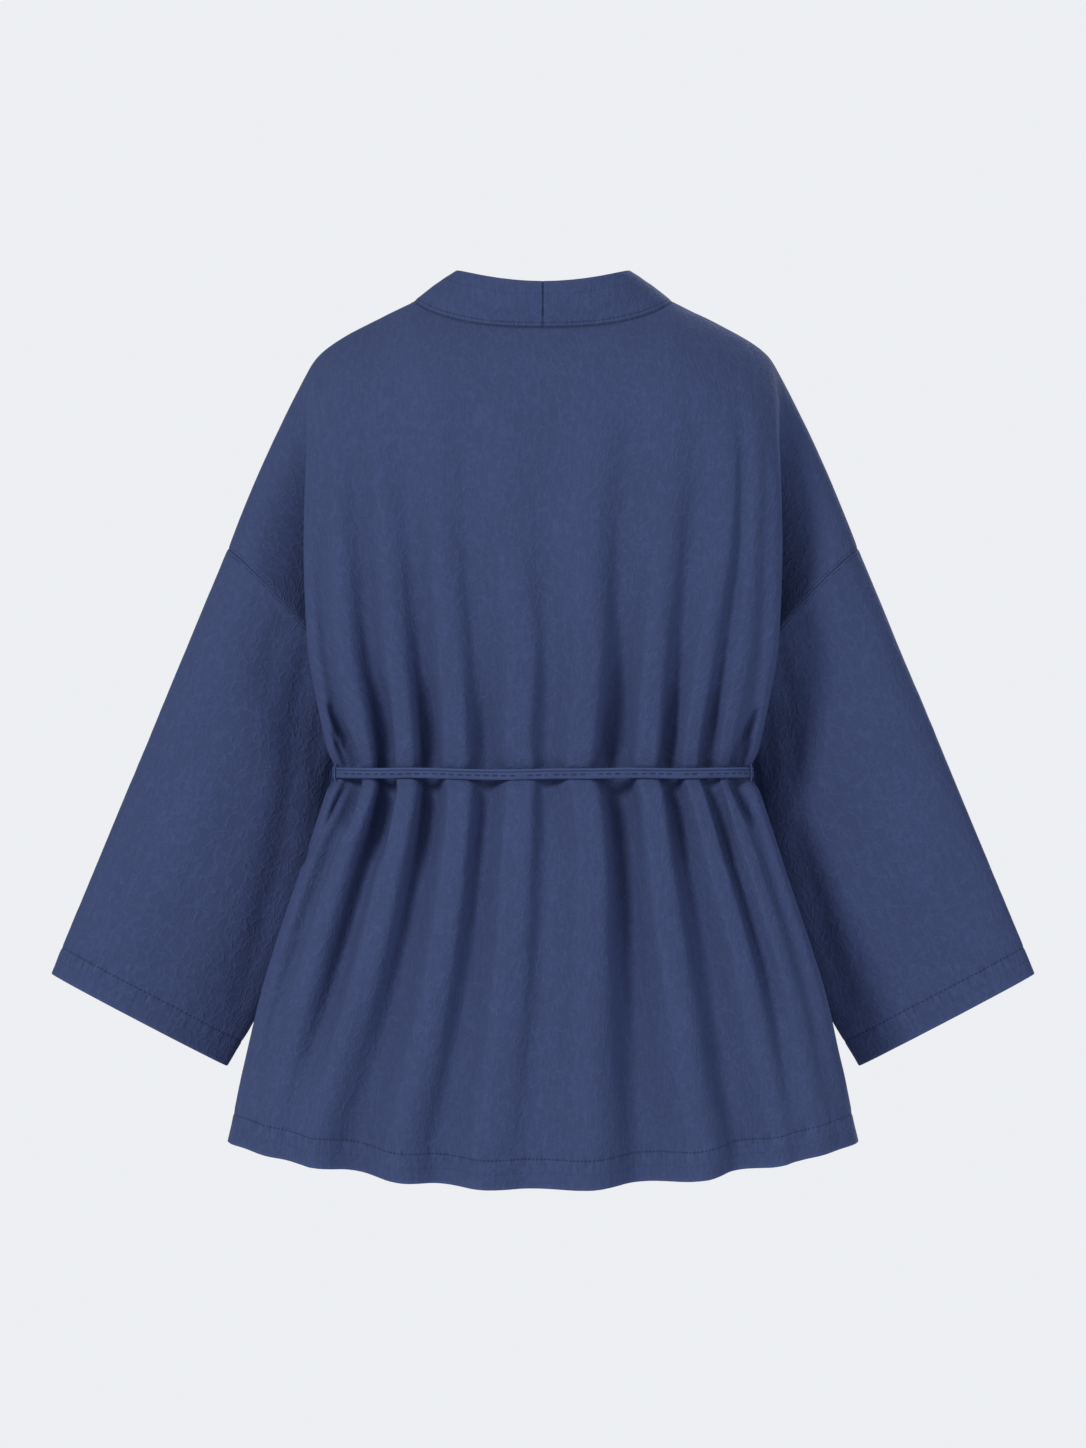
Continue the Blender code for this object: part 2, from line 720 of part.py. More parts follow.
def front_station(number, over):
    """The same on a front, beside one of its rows: it stands at the neck and lies on the chest."""
    row = ROWS[number]
    before, after = ROWS[max(number - 1, 0)], ROWS[min(number + 1, len(ROWS) - 1)]
    base = front_point(1, over, 1.0, row)
    along = front_point(1, over, 1.0, after) - front_point(1, over, 1.0, before)
    laid = smoothstep(-base.z / BAND_LAID)
    neck = neck_station(NECK_FOLD)
    flat = Vector((along.z, 0.0, -along.x)).normalized()
    way = (neck[-1] - neck[0]).normalized().lerp(flat, laid).normalized()
    points = []
    for share in steps(BAND_STEPS):
        point = base + way * BAND * share
        standing = base.y * mix(1.0, BAND_FORWARD, share)
        point.y = mix(standing, front_face(point.x, point.z, over), laid)
        points.append(point)
    return points


def band_way(points):
    return (points[1] - points[0]).normalized()


def make_band(name, side, over):
    stations = [neck_station(fold) for fold in steps(BAND_STATIONS, CENTRE_FOLD, NECK_FOLD)]
    stations += [front_station(number, over) for number in range(1, len(ROWS))]
    ways = []
    for number, points in enumerate(stations):
        way = band_way(points)
        ways.append(Vector((-way.x * side, -way.y, -way.z)))
        points[0] = points[0] + way * SEAM
        if number == 0:
            for point in points:
                point.x += SEAM / 2
        for point in points:
            point.x *= side
    grid = [list(line) for line in zip(*(points[::-1] for points in stations))]
    if side > 0:
        grid = [line[::-1] for line in grid]
        ways = ways[::-1]
    at_seam = len(grid) - 1
    inner = walled(grid, BAND_WALL, neighbours=lambda i, j: [ways[j]] if i == at_seam else [])
    cloth_wall(name, grid, inner)


def waist_half(z):
    """The waist's outline without its folds, from the centre back round to the centre front."""
    size = level(z)
    back = [math.sin(angle) for angle in steps(BELT_STEPS, 0.0, math.pi / 2)]
    points = [Vector((place * size.edge_x, back_hull(place, z), z)) for place in back]
    for angle in steps(BELT_STEPS, 0.0, math.pi / 2)[1:]:
        point = closed_side(z, angle)
        lift = LAP / 2 * smoothstep((LAP_END - point.x) / (LAP_END - LAP_FULL))
        points.append(point - Vector((0.0, lift, 0.0)))
    return points


def belt_line(z, lift):
    """A closed line round the waist, outside the cloth by lift, from above turning left to right."""
    half = waist_half(z)
    line = half + [Vector((-p.x, p.y, p.z)) for p in reversed(half[1:-1])]
    count = len(line)
    found = []
    for i, point in enumerate(line):
        along = line[(i + 1) % count] - line[i - 1]
        outward = Vector((-along.y, along.x, 0.0)).normalized()
        found.append(point + outward * lift)
    return found


def belt_lift():
    """From the pinched waist to the belt's outer face."""
    return PINCH * (1 - bump(BELT + BELT_HALF)) + BELT_CLEAR + BELT_WALL


def make_belt():
    middle = belt_line(BELT, belt_lift())
    grid = []
    for offset in (BELT_HALF, 0.0, -BELT_HALF):
        grid.append([Vector((p.x, p.y, BELT + offset)) for p in middle][::-1])
    cloth_wall("belt", grid, walled(grid, BELT_WALL, around=True), around=True)


def make_knot():
    bpy.ops.mesh.primitive_cube_add(size=1.0)
    knot = bpy.context.object
    mesh = knot.data
    front = min(point.y for point in belt_line(BELT, belt_lift()))
    centre = Vector((0.0, front - SEAM - KNOT.y / 2, BELT))
    for vertex in mesh.vertices:
        vertex.co = Vector(a * b for a, b in zip(vertex.co, KNOT)) + centre
    bpy.data.objects.remove(knot)
    piece = finished("belt_knot", mesh)
    edges = piece.modifiers.new("rounded edges", "BEVEL")
    edges.width = KNOT_ROUNDING
    edges.segments = 2


def make_tail(name, side):
    """One end of the belt, hanging from the knot down the wrapped front."""
    top = BELT - KNOT.z / 2 - SEAM
    grid = []
    for share in steps(TAIL_ROWS):
        z = top - TAIL_LENGTH * share
        centre = side * (TAIL_START_X + TAIL_SPREAD * share**TAIL_SPREAD_POWER)
        line = []
        for offset in (-BELT_HALF, BELT_HALF):
            x = centre + offset
            y = front_hull(x, z) - LAP / 2 - TAIL_CLEAR - WALL
            line.append(Vector((x, y, z)))
        grid.append(line)
    cloth_wall(name, grid, walled(grid, WALL))


def make_loop(name, side):
    """A narrow loop on the side that holds the belt, from cloth to cloth over it."""
    size = level(BELT)
    at = Vector((LOOP_AT * size.edge_x, back_hull(LOOP_AT, BELT), BELT))
    beside = Vector((LOOP_BESIDE * size.edge_x, back_hull(LOOP_BESIDE, BELT), BELT))
    along = (at - beside).normalized()
    outward = Vector((-along.y, along.x, 0.0)) * (1 if along.y < 0 else -1)
    over_belt = belt_lift() + SEAM + LOOP_WALL
    on_cloth = LOOP_WALL + LOOP_CLEAR
    turn = BELT_HALF + LOOP_OVERHANG
    profile = (
        (LOOP_RISE, on_cloth), (turn, over_belt), (0.0, over_belt),
        (-turn, over_belt), (-LOOP_RISE, on_cloth),
    )
    grid = []
    for rise, lift in profile:
        centre = at + outward * lift + Vector((0.0, 0.0, rise))
        line = [centre + along * LOOP_HALF * way for way in (1, -1)]
        line = [Vector((p.x * side, p.y, p.z)) for p in line]
        grid.append(line if side > 0 else line[::-1])
    cloth_wall(name, grid, walled(grid, LOOP_WALL))


def clear_scene():
    for piece in list(bpy.data.objects):
        bpy.data.objects.remove(piece)


def main():
    clear_scene()
    jacket = bpy.data.collections.new("kimono_jacket")
    bpy.context.scene.collection.children.link(jacket)
    make_back()
    make_front("front_left", 1, 1)
    make_front("front_right", -1, -1)
    make_sleeve("sleeve_left", 1)
    make_sleeve("sleeve_right", -1)
    make_band("collar_left", 1, 1)
    make_band("collar_right", -1, -1)
    make_belt()
    make_knot()
    make_tail("belt_tail_left", 1)
    make_tail("belt_tail_right", -1)
    make_loop("belt_loop_left", 1)
    make_loop("belt_loop_right", -1)


main()
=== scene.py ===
"""Dresses the CAD frame of a short blue kimono jacket: cloth with its folds, creases and sewing.

Metres, +Z up. The wearer faces -Y, so the back looks to +Y and the wearer's left is +X.
Every panel is a grid of points on the garment's surface, listed from its upper edge down and
from left to right as it is seen from outside.
"""

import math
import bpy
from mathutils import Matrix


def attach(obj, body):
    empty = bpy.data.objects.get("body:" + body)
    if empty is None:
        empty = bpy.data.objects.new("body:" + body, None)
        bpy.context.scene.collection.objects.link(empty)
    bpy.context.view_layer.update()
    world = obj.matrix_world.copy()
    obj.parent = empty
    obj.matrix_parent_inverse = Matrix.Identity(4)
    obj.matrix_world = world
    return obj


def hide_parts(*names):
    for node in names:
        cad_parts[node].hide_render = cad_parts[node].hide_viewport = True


bl_info = {
    "name": "Short kimono jacket",
    "version": (1, 0, 0),
    "blender": (4, 5, 0),
    "location": "3D View > Sidebar > Jacket",
    "description": "Builds the cloth pieces of a short kimono jacket on its CAD frame",
    "category": "Object",
}

from collections import namedtuple

import bmesh
import bpy
import numpy as np
from bpy.props import FloatProperty, FloatVectorProperty, PointerProperty
from mathutils import Vector

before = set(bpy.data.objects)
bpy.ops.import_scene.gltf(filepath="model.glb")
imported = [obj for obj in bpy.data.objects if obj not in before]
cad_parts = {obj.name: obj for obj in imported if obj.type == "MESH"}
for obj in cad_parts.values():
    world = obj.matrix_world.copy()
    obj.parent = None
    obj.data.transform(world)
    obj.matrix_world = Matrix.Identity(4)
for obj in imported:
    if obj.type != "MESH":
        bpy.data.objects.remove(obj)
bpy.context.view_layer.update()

# Heights that name the rows: neck seam at the centre back, underarm, belt and hem
NECK = -0.025
UNDERARM = -0.370
BELT = -0.408
SKIRT = -0.430
HEM = -0.765

# Neck and shoulder
NECK_HALF = 0.112
NECK_POWER = 2.6
NECK_FLATNESS = 0.77
ROUNDING = 0.090

# Armhole: top of the arm, underarm, half depth and the bow of the seam towards the neck
ARM_TOP = np.array((0.273, 0.0, -0.214))
ARM_UNDER = np.array((0.156, -0.006, -0.350))
ARM_DEPTH = 0.054
ARM_FLATTER = 0.8
ARM_BOW = 0.008

# Cuff: its outer corner and half depth
CUFF_TOP = np.array((0.4268, -0.020, -0.582))
CUFF_DEPTH = 0.025
CUFF_FLATTER = 0.2

# Side folds of the back and the front above the underarm
SIDE_VALLEY_IN = 0.022
SIDE_VALLEY_Y = 0.008
SIDE_VALLEY_UNDER = 0.023
SHOULDER_BULGE = np.array((0.003, 0.0, 0.001))
FRONT_EDGE = 0.186
FRONT_EDGE_SHARE = 0.45
FRONT_VALLEY_IN = 0.012
FRONT_VALLEY_Y = -0.014
FRONT_VALLEY_UNDER = -0.036
VALLEY_FORMED_BY = 0.35
VALLEY_TUCKS_FROM = 0.55
VALLEY_TUCKS_OVER = 0.35
FRONT_FOLD_SHARPNESS = 1.25

# Heights at which the section, and then the side panels, begin to close below the sleeve
SECTION_CLOSES = -0.300
SECTION_CLOSES_OVER = 0.085
PANEL_CLOSES = -0.335
PANEL_CLOSES_OVER = 0.065

# Section shapes: the back is a rounded box, the sides and front close it as a D
BACK_POWER = 2.3
FRONT_POWER = 1.7
SEAM_ANGLE = math.radians(25)
FRONT_ANGLE = math.radians(44)
SEAM_HEM_X = 0.260
FRONT_HEM_X = 0.205
SIDE_PULL = 0.010
SIDE_PULL_HEM = 0.003
SLOPE_STEP = 0.004

# The hem's wave from the centre to the sides
HEM_CENTRE_RISE = 0.003
HEM_SIDE_RISE = 0.038
HEM_SIDE_X = 0.271
HEM_POWER = 2.2
HEM_VALLEY_RISE = 0.003

# Wrap of the fronts, and the pinch that the belt makes
LAP = 0.006
LAP_FULL = 0.075
LAP_END = 0.135
PINCH = 0.004
PINCH_HEIGHT = 0.009

# Neckband: its width, how it stands at the neck and from what depth on it lies flat
BAND = 0.039
BAND_CENTRE_TOP = 0.0138
BAND_SIDE_TOP = 0.0262
BAND_LEAN = 0.68
BAND_FORWARD = 0.92
BAND_LAID = 0.100

# It starts a share of its width below its seam, rises there at the neck and sinks on the chest
BAND_HIDDEN = -0.06
BAND_RISES = 0.0005
BAND_SINKS = -0.0007

# Its cloth: thickness, the gap between its layers, and how its face swells and puckers
BAND_WALL = 0.0006
BAND_GAP = 0.0024
BAND_SWELL = 0.0009
BAND_PUCKER = 0.00026
BAND_PUCKER_PERIOD = 0.013
BAND_GROOVE = 0.0006

# Its centre seam, which shows from this height above the seam with the back
CENTRE_SEAM = 0.0006
CENTRE_SEAM_WIDTH = 0.0014
CENTRE_SEAM_FROM = 0.0092
CENTRE_SEAM_OVER = 0.0008

# Its columns from the centre back to the neck point, and its rows
NECK_STEPS = 44
BAND_STEPS = 15

# Belt, its knot, tails and loops
BELT_HALF = 0.0045
BELT_WALL = 0.0020
BELT_CLEAR = 0.0017
BELT_STEPS = 120
BELT_DIPS_AT = 0.030
BELT_DIPS_OVER = 0.055
KNOT = Vector((0.024, 0.012, 0.018))
KNOT_CLEAR = 0.0003
TAIL_LENGTH = 0.250
TAIL_CLEAR = 0.0016
TAIL_FREE = 0.0008
TAIL_SWAY = 0.0012
TAIL_WAVE = 0.0006
TAIL_START_X = 0.0055
TAIL_SPREAD = 0.024
TAIL_SPREAD_POWER = 1.3
LOOP_RISE = 0.0085
LOOP_AT = 0.985
LOOP_BESIDE = 0.97
LOOP_CLEAR = 0.0011
LOOP_ENDS = 0.0042
LOOP_RADIUS = 0.00055

# The knot's grooves: the slope of each across its face, its place, its width and its depth
Groove = namedtuple("Groove", "x z at width depth")
KNOT_GROOVES = (
    Groove(0.8, 0.9, 0.15, 0.16, 0.13),
    Groove(0.8, -1.1, -0.75, 0.14, 0.10),
)

# One row for each height: half width at the back's side fold, depth of the centre back,
# of the side fold and of the centre front
Level = namedtuple("Level", "z edge_x back_y edge_y front_y")
LEVELS = (
    Level(0.000, 0.2000, 0.088, 0.036, -0.070),
    Level(-0.062, 0.2030, 0.096, 0.044, -0.084),
    Level(-0.105, 0.2035, 0.104, 0.050, -0.098),
    Level(-0.150, 0.2050, 0.111, 0.057, -0.112),
    Level(-0.208, 0.2055, 0.117, 0.062, -0.124),
    Level(-0.260, 0.2040, 0.115, 0.064, -0.125),
    Level(-0.303, 0.2010, 0.110, 0.062, -0.120),
    Level(-0.345, 0.1945, 0.103, 0.054, -0.111),
    Level(-0.381, 0.1875, 0.097, 0.042, -0.102),
    Level(-0.408, 0.1810, 0.093, 0.032, -0.094),
    Level(-0.424, 0.1870, 0.098, 0.036, -0.099),
    Level(-0.483, 0.2060, 0.112, 0.046, -0.112),
    Level(-0.587, 0.2400, 0.128, 0.054, -0.126),
    Level(-0.655, 0.2560, 0.134, 0.056, -0.132),
    Level(-0.724, 0.2710, 0.138, 0.058, -0.136),
    Level(-0.765, 0.2790, 0.140, 0.058, -0.138),
)

# One row for each ridge of the back between its two side folds: x at each named height,
# and how deep the valley on its right is, as a share of the depth at that height
Ridge = namedtuple("Ridge", "neck blade chest rib above belt below hip thigh hem valley")
RIDGE_HEIGHTS = (-0.025, -0.105, -0.208, -0.303, -0.380, -0.408, -0.424, -0.483, -0.587, -0.724)
VALLEY_DEPTHS = (0.000, 0.0025, 0.0100, 0.0170, 0.0220, 0.0160, 0.0225, 0.0240, 0.0240, 0.0225)
LEFT_VALLEY = 0.5
RIDGES = (
    Ridge(0.172, 0.178, 0.178, 0.172, 0.157, 0.153, 0.152, 0.176, 0.206, 0.238, 1.15),
    Ridge(0.134, 0.143, 0.135, 0.128, 0.120, 0.120, 0.119, 0.131, 0.157, 0.199, 1.08),
    Ridge(0.090, 0.093, 0.088, 0.082, 0.077, 0.077, 0.073, 0.077, 0.091, 0.120, 0.85),
    Ridge(0.030, 0.023, 0.028, 0.020, 0.022, 0.018, 0.021, 0.026, 0.032, 0.048, 0.62),
    Ridge(-0.030, -0.050, -0.042, -0.040, -0.033, -0.029, -0.036, -0.043, -0.042, -0.043, 1.30),
    Ridge(-0.090, -0.110, -0.107, -0.097, -0.092, -0.090, -0.095, -0.101, -0.116, -0.141, 0.95),
    Ridge(-0.134, -0.160, -0.160, -0.142, -0.129, -0.127, -0.133, -0.150, -0.179, -0.208, 0.72),
    Ridge(-0.172, -0.184, -0.181, -0.173, -0.158, -0.157, -0.160, -0.180, -0.212, -0.242, 0.32),
)
RIDGE_COUNT = len(RIDGES) + 2

# Places in the order of the ridges: the centre back, and the neck point on the left
CENTRE_FOLD = 4.5
NECK_FOLD = 2.5

# A back fold from one ridge to the next: it drops fast beside the ridge and climbs slowly
Profile = namedtuple("Profile", "share sink")
FOLD_PROFILE = (
    Profile(0.00, 0.00),
    Profile(0.12, 0.00),
    Profile(0.19, 0.05),
    Profile(0.25, 0.30),
    Profile(0.31, 0.74),
    Profile(0.38, 0.98),
    Profile(0.46, 1.03),
    Profile(0.56, 0.95),
    Profile(0.66, 0.66),
    Profile(0.75, 0.28),
    Profile(0.81, 0.03),
    Profile(0.85, -0.02),
    Profile(0.92, -0.01),
    Profile(1.00, 0.00),
)

# How far above and below the belt the folds stay crisp, and how a soft one leans
CRISP_ABOVE = 0.17
CRISP_BELOW = 0.27
SOFT_LEAN = 0.84

# The outer folds run out towards the hem: how many ridges from the centre, and from what height
OUTER_FOLDS = 2.2
OUTER_FOLDS_OVER = 0.7
RUNS_OUT_BELOW = -0.540
RUNS_OUT_OVER = 0.180
RUNS_OUT_BY = 0.80

# Where a fold has its columns, closest at its crisp edges
FOLD_COLUMNS = (
    0.0, 0.08, 0.14, 0.19, 0.225, 0.26, 0.295, 0.33, 0.375, 0.43, 0.50, 0.57, 0.64, 0.70, 0.75, 0.79,
    0.82, 0.86, 0.93,
)

# One row for each height of the wrapped front's seam with its neckband: x on the left front
Edge = namedtuple("Edge", "z x")
FRONT_SEAM = (
    Edge(0.000, 0.112),
    Edge(-0.020, 0.108),
    Edge(-0.050, 0.097),
    Edge(-0.100, 0.076),
    Edge(-0.150, 0.054),
    Edge(-0.200, 0.032),
    Edge(-0.250, 0.011),
    Edge(-0.300, -0.008),
    Edge(-0.350, -0.021),
    Edge(-0.408, -0.029),
    Edge(-0.500, -0.033),
    Edge(-0.765, -0.040),
)

# One row for each fold of a front, from the centre front to its side fold: its depth, as a share
FRONT_VALLEYS = (0.20, 0.45, 0.75, 0.55)
FRONT_DEPTHS = (0.000, 0.002, 0.006, 0.011, 0.015, 0.009, 0.015, 0.017, 0.017, 0.018)

# The shoulder from the neck point to the top of the arm
Shoulder = namedtuple("Shoulder", "x z")
SHOULDER = (
    Shoulder(0.112, 0.000),
    Shoulder(0.137, -0.012),
    Shoulder(0.170, -0.029),
    Shoulder(0.194, -0.046),
    Shoulder(0.206, -0.064),
    Shoulder(0.220, -0.089),
    Shoulder(0.242, -0.139),
    Shoulder(0.273, -0.214),
)

# The sleeve's lower edge from the underarm to the cuff
SleeveEdge = namedtuple("SleeveEdge", "share x y z")
SLEEVE_UNDER = (
    SleeveEdge(0.00, 0.156, -0.006, -0.350),
    SleeveEdge(0.18, 0.173, -0.030, -0.406),
    SleeveEdge(0.42, 0.189, -0.032, -0.486),
    SleeveEdge(0.74, 0.231, -0.034, -0.587),
    SleeveEdge(1.00, 0.2743, -0.036, -0.663),
)

# Beside a seam the cloth lies calm over this width, and an edge reaches this far past it
SEAM_CALM = 0.005
SEAM_REACH = 0.0007

# How the cloth dips into a seam, and the groove and the puckers of a stitched hem
SEAM_DIP = 0.0007
SEAM_DIP_WIDTH = 0.0016
HEM_GROOVE = 0.0005
HEM_GROOVE_WIDTH = 0.0012
HEM_PUCKER = 0.00042
HEM_PUCKER_PERIOD = 0.0115

# Worn cloth: how far it waves slowly and quickly
SLOW_WAVES = 0.0006
QUICK_WAVES = 0.00022

# Rows of a panel: how many steps lead from one height to the next
RowBand = namedtuple("RowBand", "top bottom steps")
PANEL_ROWS = (
    RowBand(NECK, -0.033, 6),
    RowBand(-0.033, -0.370, 66),
    RowBand(-0.370, -0.450, 34),
    RowBand(-0.450, -0.738, 48),
    RowBand(-0.738, HEM, 20),
)
HEM_ROWS = PANEL_ROWS[-1].steps

# Columns of a panel beyond its side fold and across a front, and how they crowd together
BACK_SIDE_STEPS = 20
FRONT_SIDE_STEPS = 18
SIDE_CROWD = 1.5
FRONT_STEPS = 66
FRONT_CROWD = 1.15

# The fronts' creases begin beside the centre, where a front comes out from under the other
UNDER_WRAP = 0.050
UNDER_WRAP_OVER = 0.030

# A sleeve's columns round it, and its rows: close at the armhole, even, close in the hem
SLEEVE_TURNS = 112
SLEEVE_TOP_ROWS = 24
SLEEVE_TOP_CROWD = 1.6
SLEEVE_EVEN_FROM = 0.22
SLEEVE_EVEN_ROWS = 58
SLEEVE_HEM_FROM = 0.93
SLEEVE_HEM_ROWS = 18

# Creases laid one by one: each runs from one point to the other, in metres across and up, and
# sinks by its depth over its width. A negative depth is a ridge.
Crease = namedtuple("Crease", "x0 z0 x1 z1 width depth")
BACK_CREASES = (
    Crease(0.181, -0.352, 0.1605, -0.402, 0.0036, 0.0110),
    Crease(0.180, -0.376, 0.1690, -0.402, 0.0024, 0.0080),
    Crease(0.137, -0.330, 0.135, -0.404, 0.0060, 0.0042),
    Crease(0.135, -0.412, 0.142, -0.480, 0.0060, 0.0048),
    Crease(0.098, -0.335, 0.096, -0.404, 0.0060, 0.0036),
    Crease(0.097, -0.412, 0.100, -0.480, 0.0060, 0.0042),
    Crease(-0.070, -0.335, -0.071, -0.404, 0.0060, 0.0042),
    Crease(-0.072, -0.412, -0.078, -0.480, 0.0060, 0.0048),
    Crease(-0.111, -0.340, -0.112, -0.404, 0.0055, 0.0028),
    Crease(-0.113, -0.412, -0.119, -0.480, 0.0060, 0.0034),
    Crease(-0.147, -0.345, -0.146, -0.404, 0.0045, 0.0030),
    Crease(-0.148, -0.412, -0.160, -0.480, 0.0050, 0.0034),
    Crease(-0.182, -0.356, -0.1640, -0.402, 0.0036, 0.0100),
    Crease(-0.178, -0.382, -0.1700, -0.402, 0.0024, 0.0060),
    Crease(0.168, -0.4145, 0.184, -0.447, 0.0028, 0.0080),
    Crease(0.184, -0.447, 0.206, -0.484, 0.0028, 0.0036),
    Crease(0.1595, -0.4140, 0.171, -0.452, 0.0036, 0.0115),
    Crease(0.172, -0.450, 0.188, -0.500, 0.0050, 0.0022),
    Crease(-0.163, -0.4140, -0.180, -0.450, 0.0034, 0.0100),
    Crease(-0.182, -0.447, -0.196, -0.480, 0.0028, 0.0030),
    Crease(-0.055, -0.356, -0.056, -0.404, 0.004, 0.0020),
    Crease(-0.060, -0.414, -0.066, -0.462, 0.004, 0.0018),
    Crease(0.052, -0.350, 0.050, -0.402, 0.005, 0.0014),
    Crease(0.048, -0.416, 0.054, -0.480, 0.005, 0.0014),
    Crease(0.098, -0.330, 0.094, -0.402, 0.004, 0.0014),
    Crease(0.092, -0.414, 0.102, -0.500, 0.004, 0.0012),
    Crease(-0.008, -0.230, -0.004, -0.402, 0.008, 0.0012),
    Crease(-0.006, -0.414, 0.000, -0.620, 0.008, 0.0014),
    Crease(0.150, -0.060, 0.176, -0.150, 0.010, 0.0012),
    Crease(-0.148, -0.062, -0.174, -0.140, 0.010, 0.0012),
    Crease(0.118, -0.120, 0.112, -0.300, 0.010, -0.0010),
    Crease(-0.082, -0.130, -0.072, -0.310, 0.010, -0.0012),
    Crease(0.140, -0.520, 0.172, -0.700, 0.009, 0.0016),
    Crease(-0.130, -0.520, -0.152, -0.690, 0.009, 0.0016),
    Crease(-0.070, -0.540, -0.088, -0.730, 0.010, 0.0014),
    Crease(0.066, -0.540, 0.080, -0.720, 0.010, 0.0012),
    Crease(-0.010, -0.640, -0.006, -0.752, 0.012, 0.0016),
)
FRONT_CREASES = (
    Crease(0.172, -0.330, 0.138, -0.402, 0.006, 0.0028),
    Crease(0.128, -0.340, 0.110, -0.402, 0.005, 0.0022),
    Crease(0.086, -0.330, 0.076, -0.402, 0.005, 0.0018),
    Crease(0.044, -0.350, 0.042, -0.402, 0.004, 0.0014),
    Crease(0.160, -0.416, 0.184, -0.500, 0.005, 0.0024),
    Crease(0.112, -0.414, 0.128, -0.510, 0.005, 0.0020),
    Crease(0.072, -0.414, 0.080, -0.520, 0.006, 0.0016),
    Crease(0.030, -0.416, 0.034, -0.560, 0.008, 0.0012),
    Crease(0.150, -0.080, 0.120, -0.220, 0.012, 0.0014),
    Crease(0.096, -0.160, 0.070, -0.300, 0.010, 0.0012),
    Crease(0.130, -0.560, 0.150, -0.730, 0.010, 0.0014),
    Crease(0.060, -0.600, 0.066, -0.750, 0.010, 0.0014),
)

# The same on a sleeve, from its armhole (0) to its cuff (1) and round it: 0 along the upper
# edge, 0.25 behind, 0.5 along the lower edge and 0.75 in front
SleeveCrease = namedtuple("SleeveCrease", "around0 along0 around1 along1 width depth")
SLEEVE_CREASES = (
    SleeveCrease(0.07, 0.01, 0.06, 0.13, 0.006, 0.0010),
    SleeveCrease(0.12, 0.01, 0.11, 0.17, 0.007, 0.0013),
    SleeveCrease(0.17, 0.01, 0.17, 0.14, 0.006, 0.0011),
    SleeveCrease(0.22, 0.01, 0.23, 0.20, 0.008, 0.0015),
    SleeveCrease(0.28, 0.01, 0.29, 0.16, 0.006, 0.0012),
    SleeveCrease(0.34, 0.01, 0.36, 0.24, 0.008, 0.0018),
    SleeveCrease(0.41, 0.02, 0.42, 0.30, 0.008, 0.0020),
    SleeveCrease(0.16, 0.30, 0.12, 0.80, 0.016, 0.0020),
    SleeveCrease(0.29, 0.08, 0.39, 0.78, 0.011, 0.0034),
    SleeveCrease(0.26, 0.45, 0.24, 0.92, 0.018, 0.0026),
    SleeveCrease(0.22, 0.50, 0.20, 0.98, 0.012, -0.0012),
    SleeveCrease(0.93, 0.01, 0.93, 0.14, 0.006, 0.0010),
    SleeveCrease(0.87, 0.01, 0.88, 0.18, 0.007, 0.0013),
    SleeveCrease(0.80, 0.01, 0.80, 0.13, 0.006, 0.0011),
    SleeveCrease(0.74, 0.01, 0.73, 0.21, 0.008, 0.0015),
    SleeveCrease(0.67, 0.01, 0.65, 0.18, 0.007, 0.0013),
    SleeveCrease(0.60, 0.02, 0.59, 0.28, 0.008, 0.0018),
    SleeveCrease(0.82, 0.30, 0.86, 0.84, 0.016, 0.0017),
    SleeveCrease(0.70, 0.26, 0.73, 0.92, 0.018, 0.0020),
)


def settings():
    return bpy.context.scene.jacket


# Curves and sections, worked out for whole grids of points at a time


def smoothstep(value):
    value = np.clip(value, 0.0, 1.0)
    return value * value * (3.0 - 2.0 * value)


def mix(a, b, share):
    return a + (b - a) * share


def vector(x, y, z):
    return np.stack(np.broadcast_arrays(x, y, z), axis=-1).astype(float)


def unit(vectors):
    return vectors / np.maximum(np.linalg.norm(vectors, axis=-1, keepdims=True), 1e-12)


def curve(knots, values, at):
    """A smooth curve through the values, read at any number of places."""
    knots, values = np.asarray(knots, float), np.asarray(values, float)
    if knots[0] > knots[-1]:
        knots, values = knots[::-1], values[::-1]
    at = np.clip(at, knots[0], knots[-1])
    last = len(knots) - 1
    before, after = np.maximum(np.arange(last + 1) - 1, 0), np.minimum(np.arange(last + 1) + 1, last)
    slopes = (values[after] - values[before]) / (knots[after] - knots[before])
    low = np.clip(np.searchsorted(knots, at, side="right") - 1, 0, last - 1)
    step = knots[low + 1] - knots[low]
    t = (at - knots[low]) / step
    rise = values[low + 1] - values[low]
    start, end = slopes[low] * step, slopes[low + 1] * step
    return values[low] + t * (start + t * (3 * rise - 2 * start - end + t * (start + end - 2 * rise)))


def read(table, key, column, at):
    return curve([getattr(row, key) for row in table], [getattr(row, column) for row in table], at)


def level(z):
    """The section's sizes at a height, drawn in where the belt pinches it."""
    pinch = PINCH * np.exp(-(((z - BELT) / PINCH_HEIGHT) ** 2))
    return Level(
        z,
        read(LEVELS, "z", "edge_x", z) - pinch,
        read(LEVELS, "z", "back_y", z) - pinch,
        read(LEVELS, "z", "edge_y", z),
        read(LEVELS, "z", "front_y", z) + pinch,
    )


def ridge_line(x):
    """Height of the shoulder's top at a distance from the centre."""
    x = np.abs(x)
    return np.where(x <= NECK_HALF, 0.0, read(SHOULDER, "x", "z", x))


def neckline(x):
    """Height of the back's upper edge: the neck seam, then the shoulder."""
    share = np.minimum(np.abs(x) / NECK_HALF, 1.0)
    dip = NECK * (1.0 - share**NECK_POWER) ** NECK_FLATNESS
    return np.where(share >= 1.0, ridge_line(x), dip)


def hem_height(x):
    return HEM + HEM_CENTRE_RISE + HEM_SIDE_RISE * (np.abs(x) / HEM_SIDE_X) ** HEM_POWER


def skirt_share(row):
    """0 above the skirt, 1 on the hem."""
    return np.maximum(0.0, (SKIRT - row) / (SKIRT - HEM))


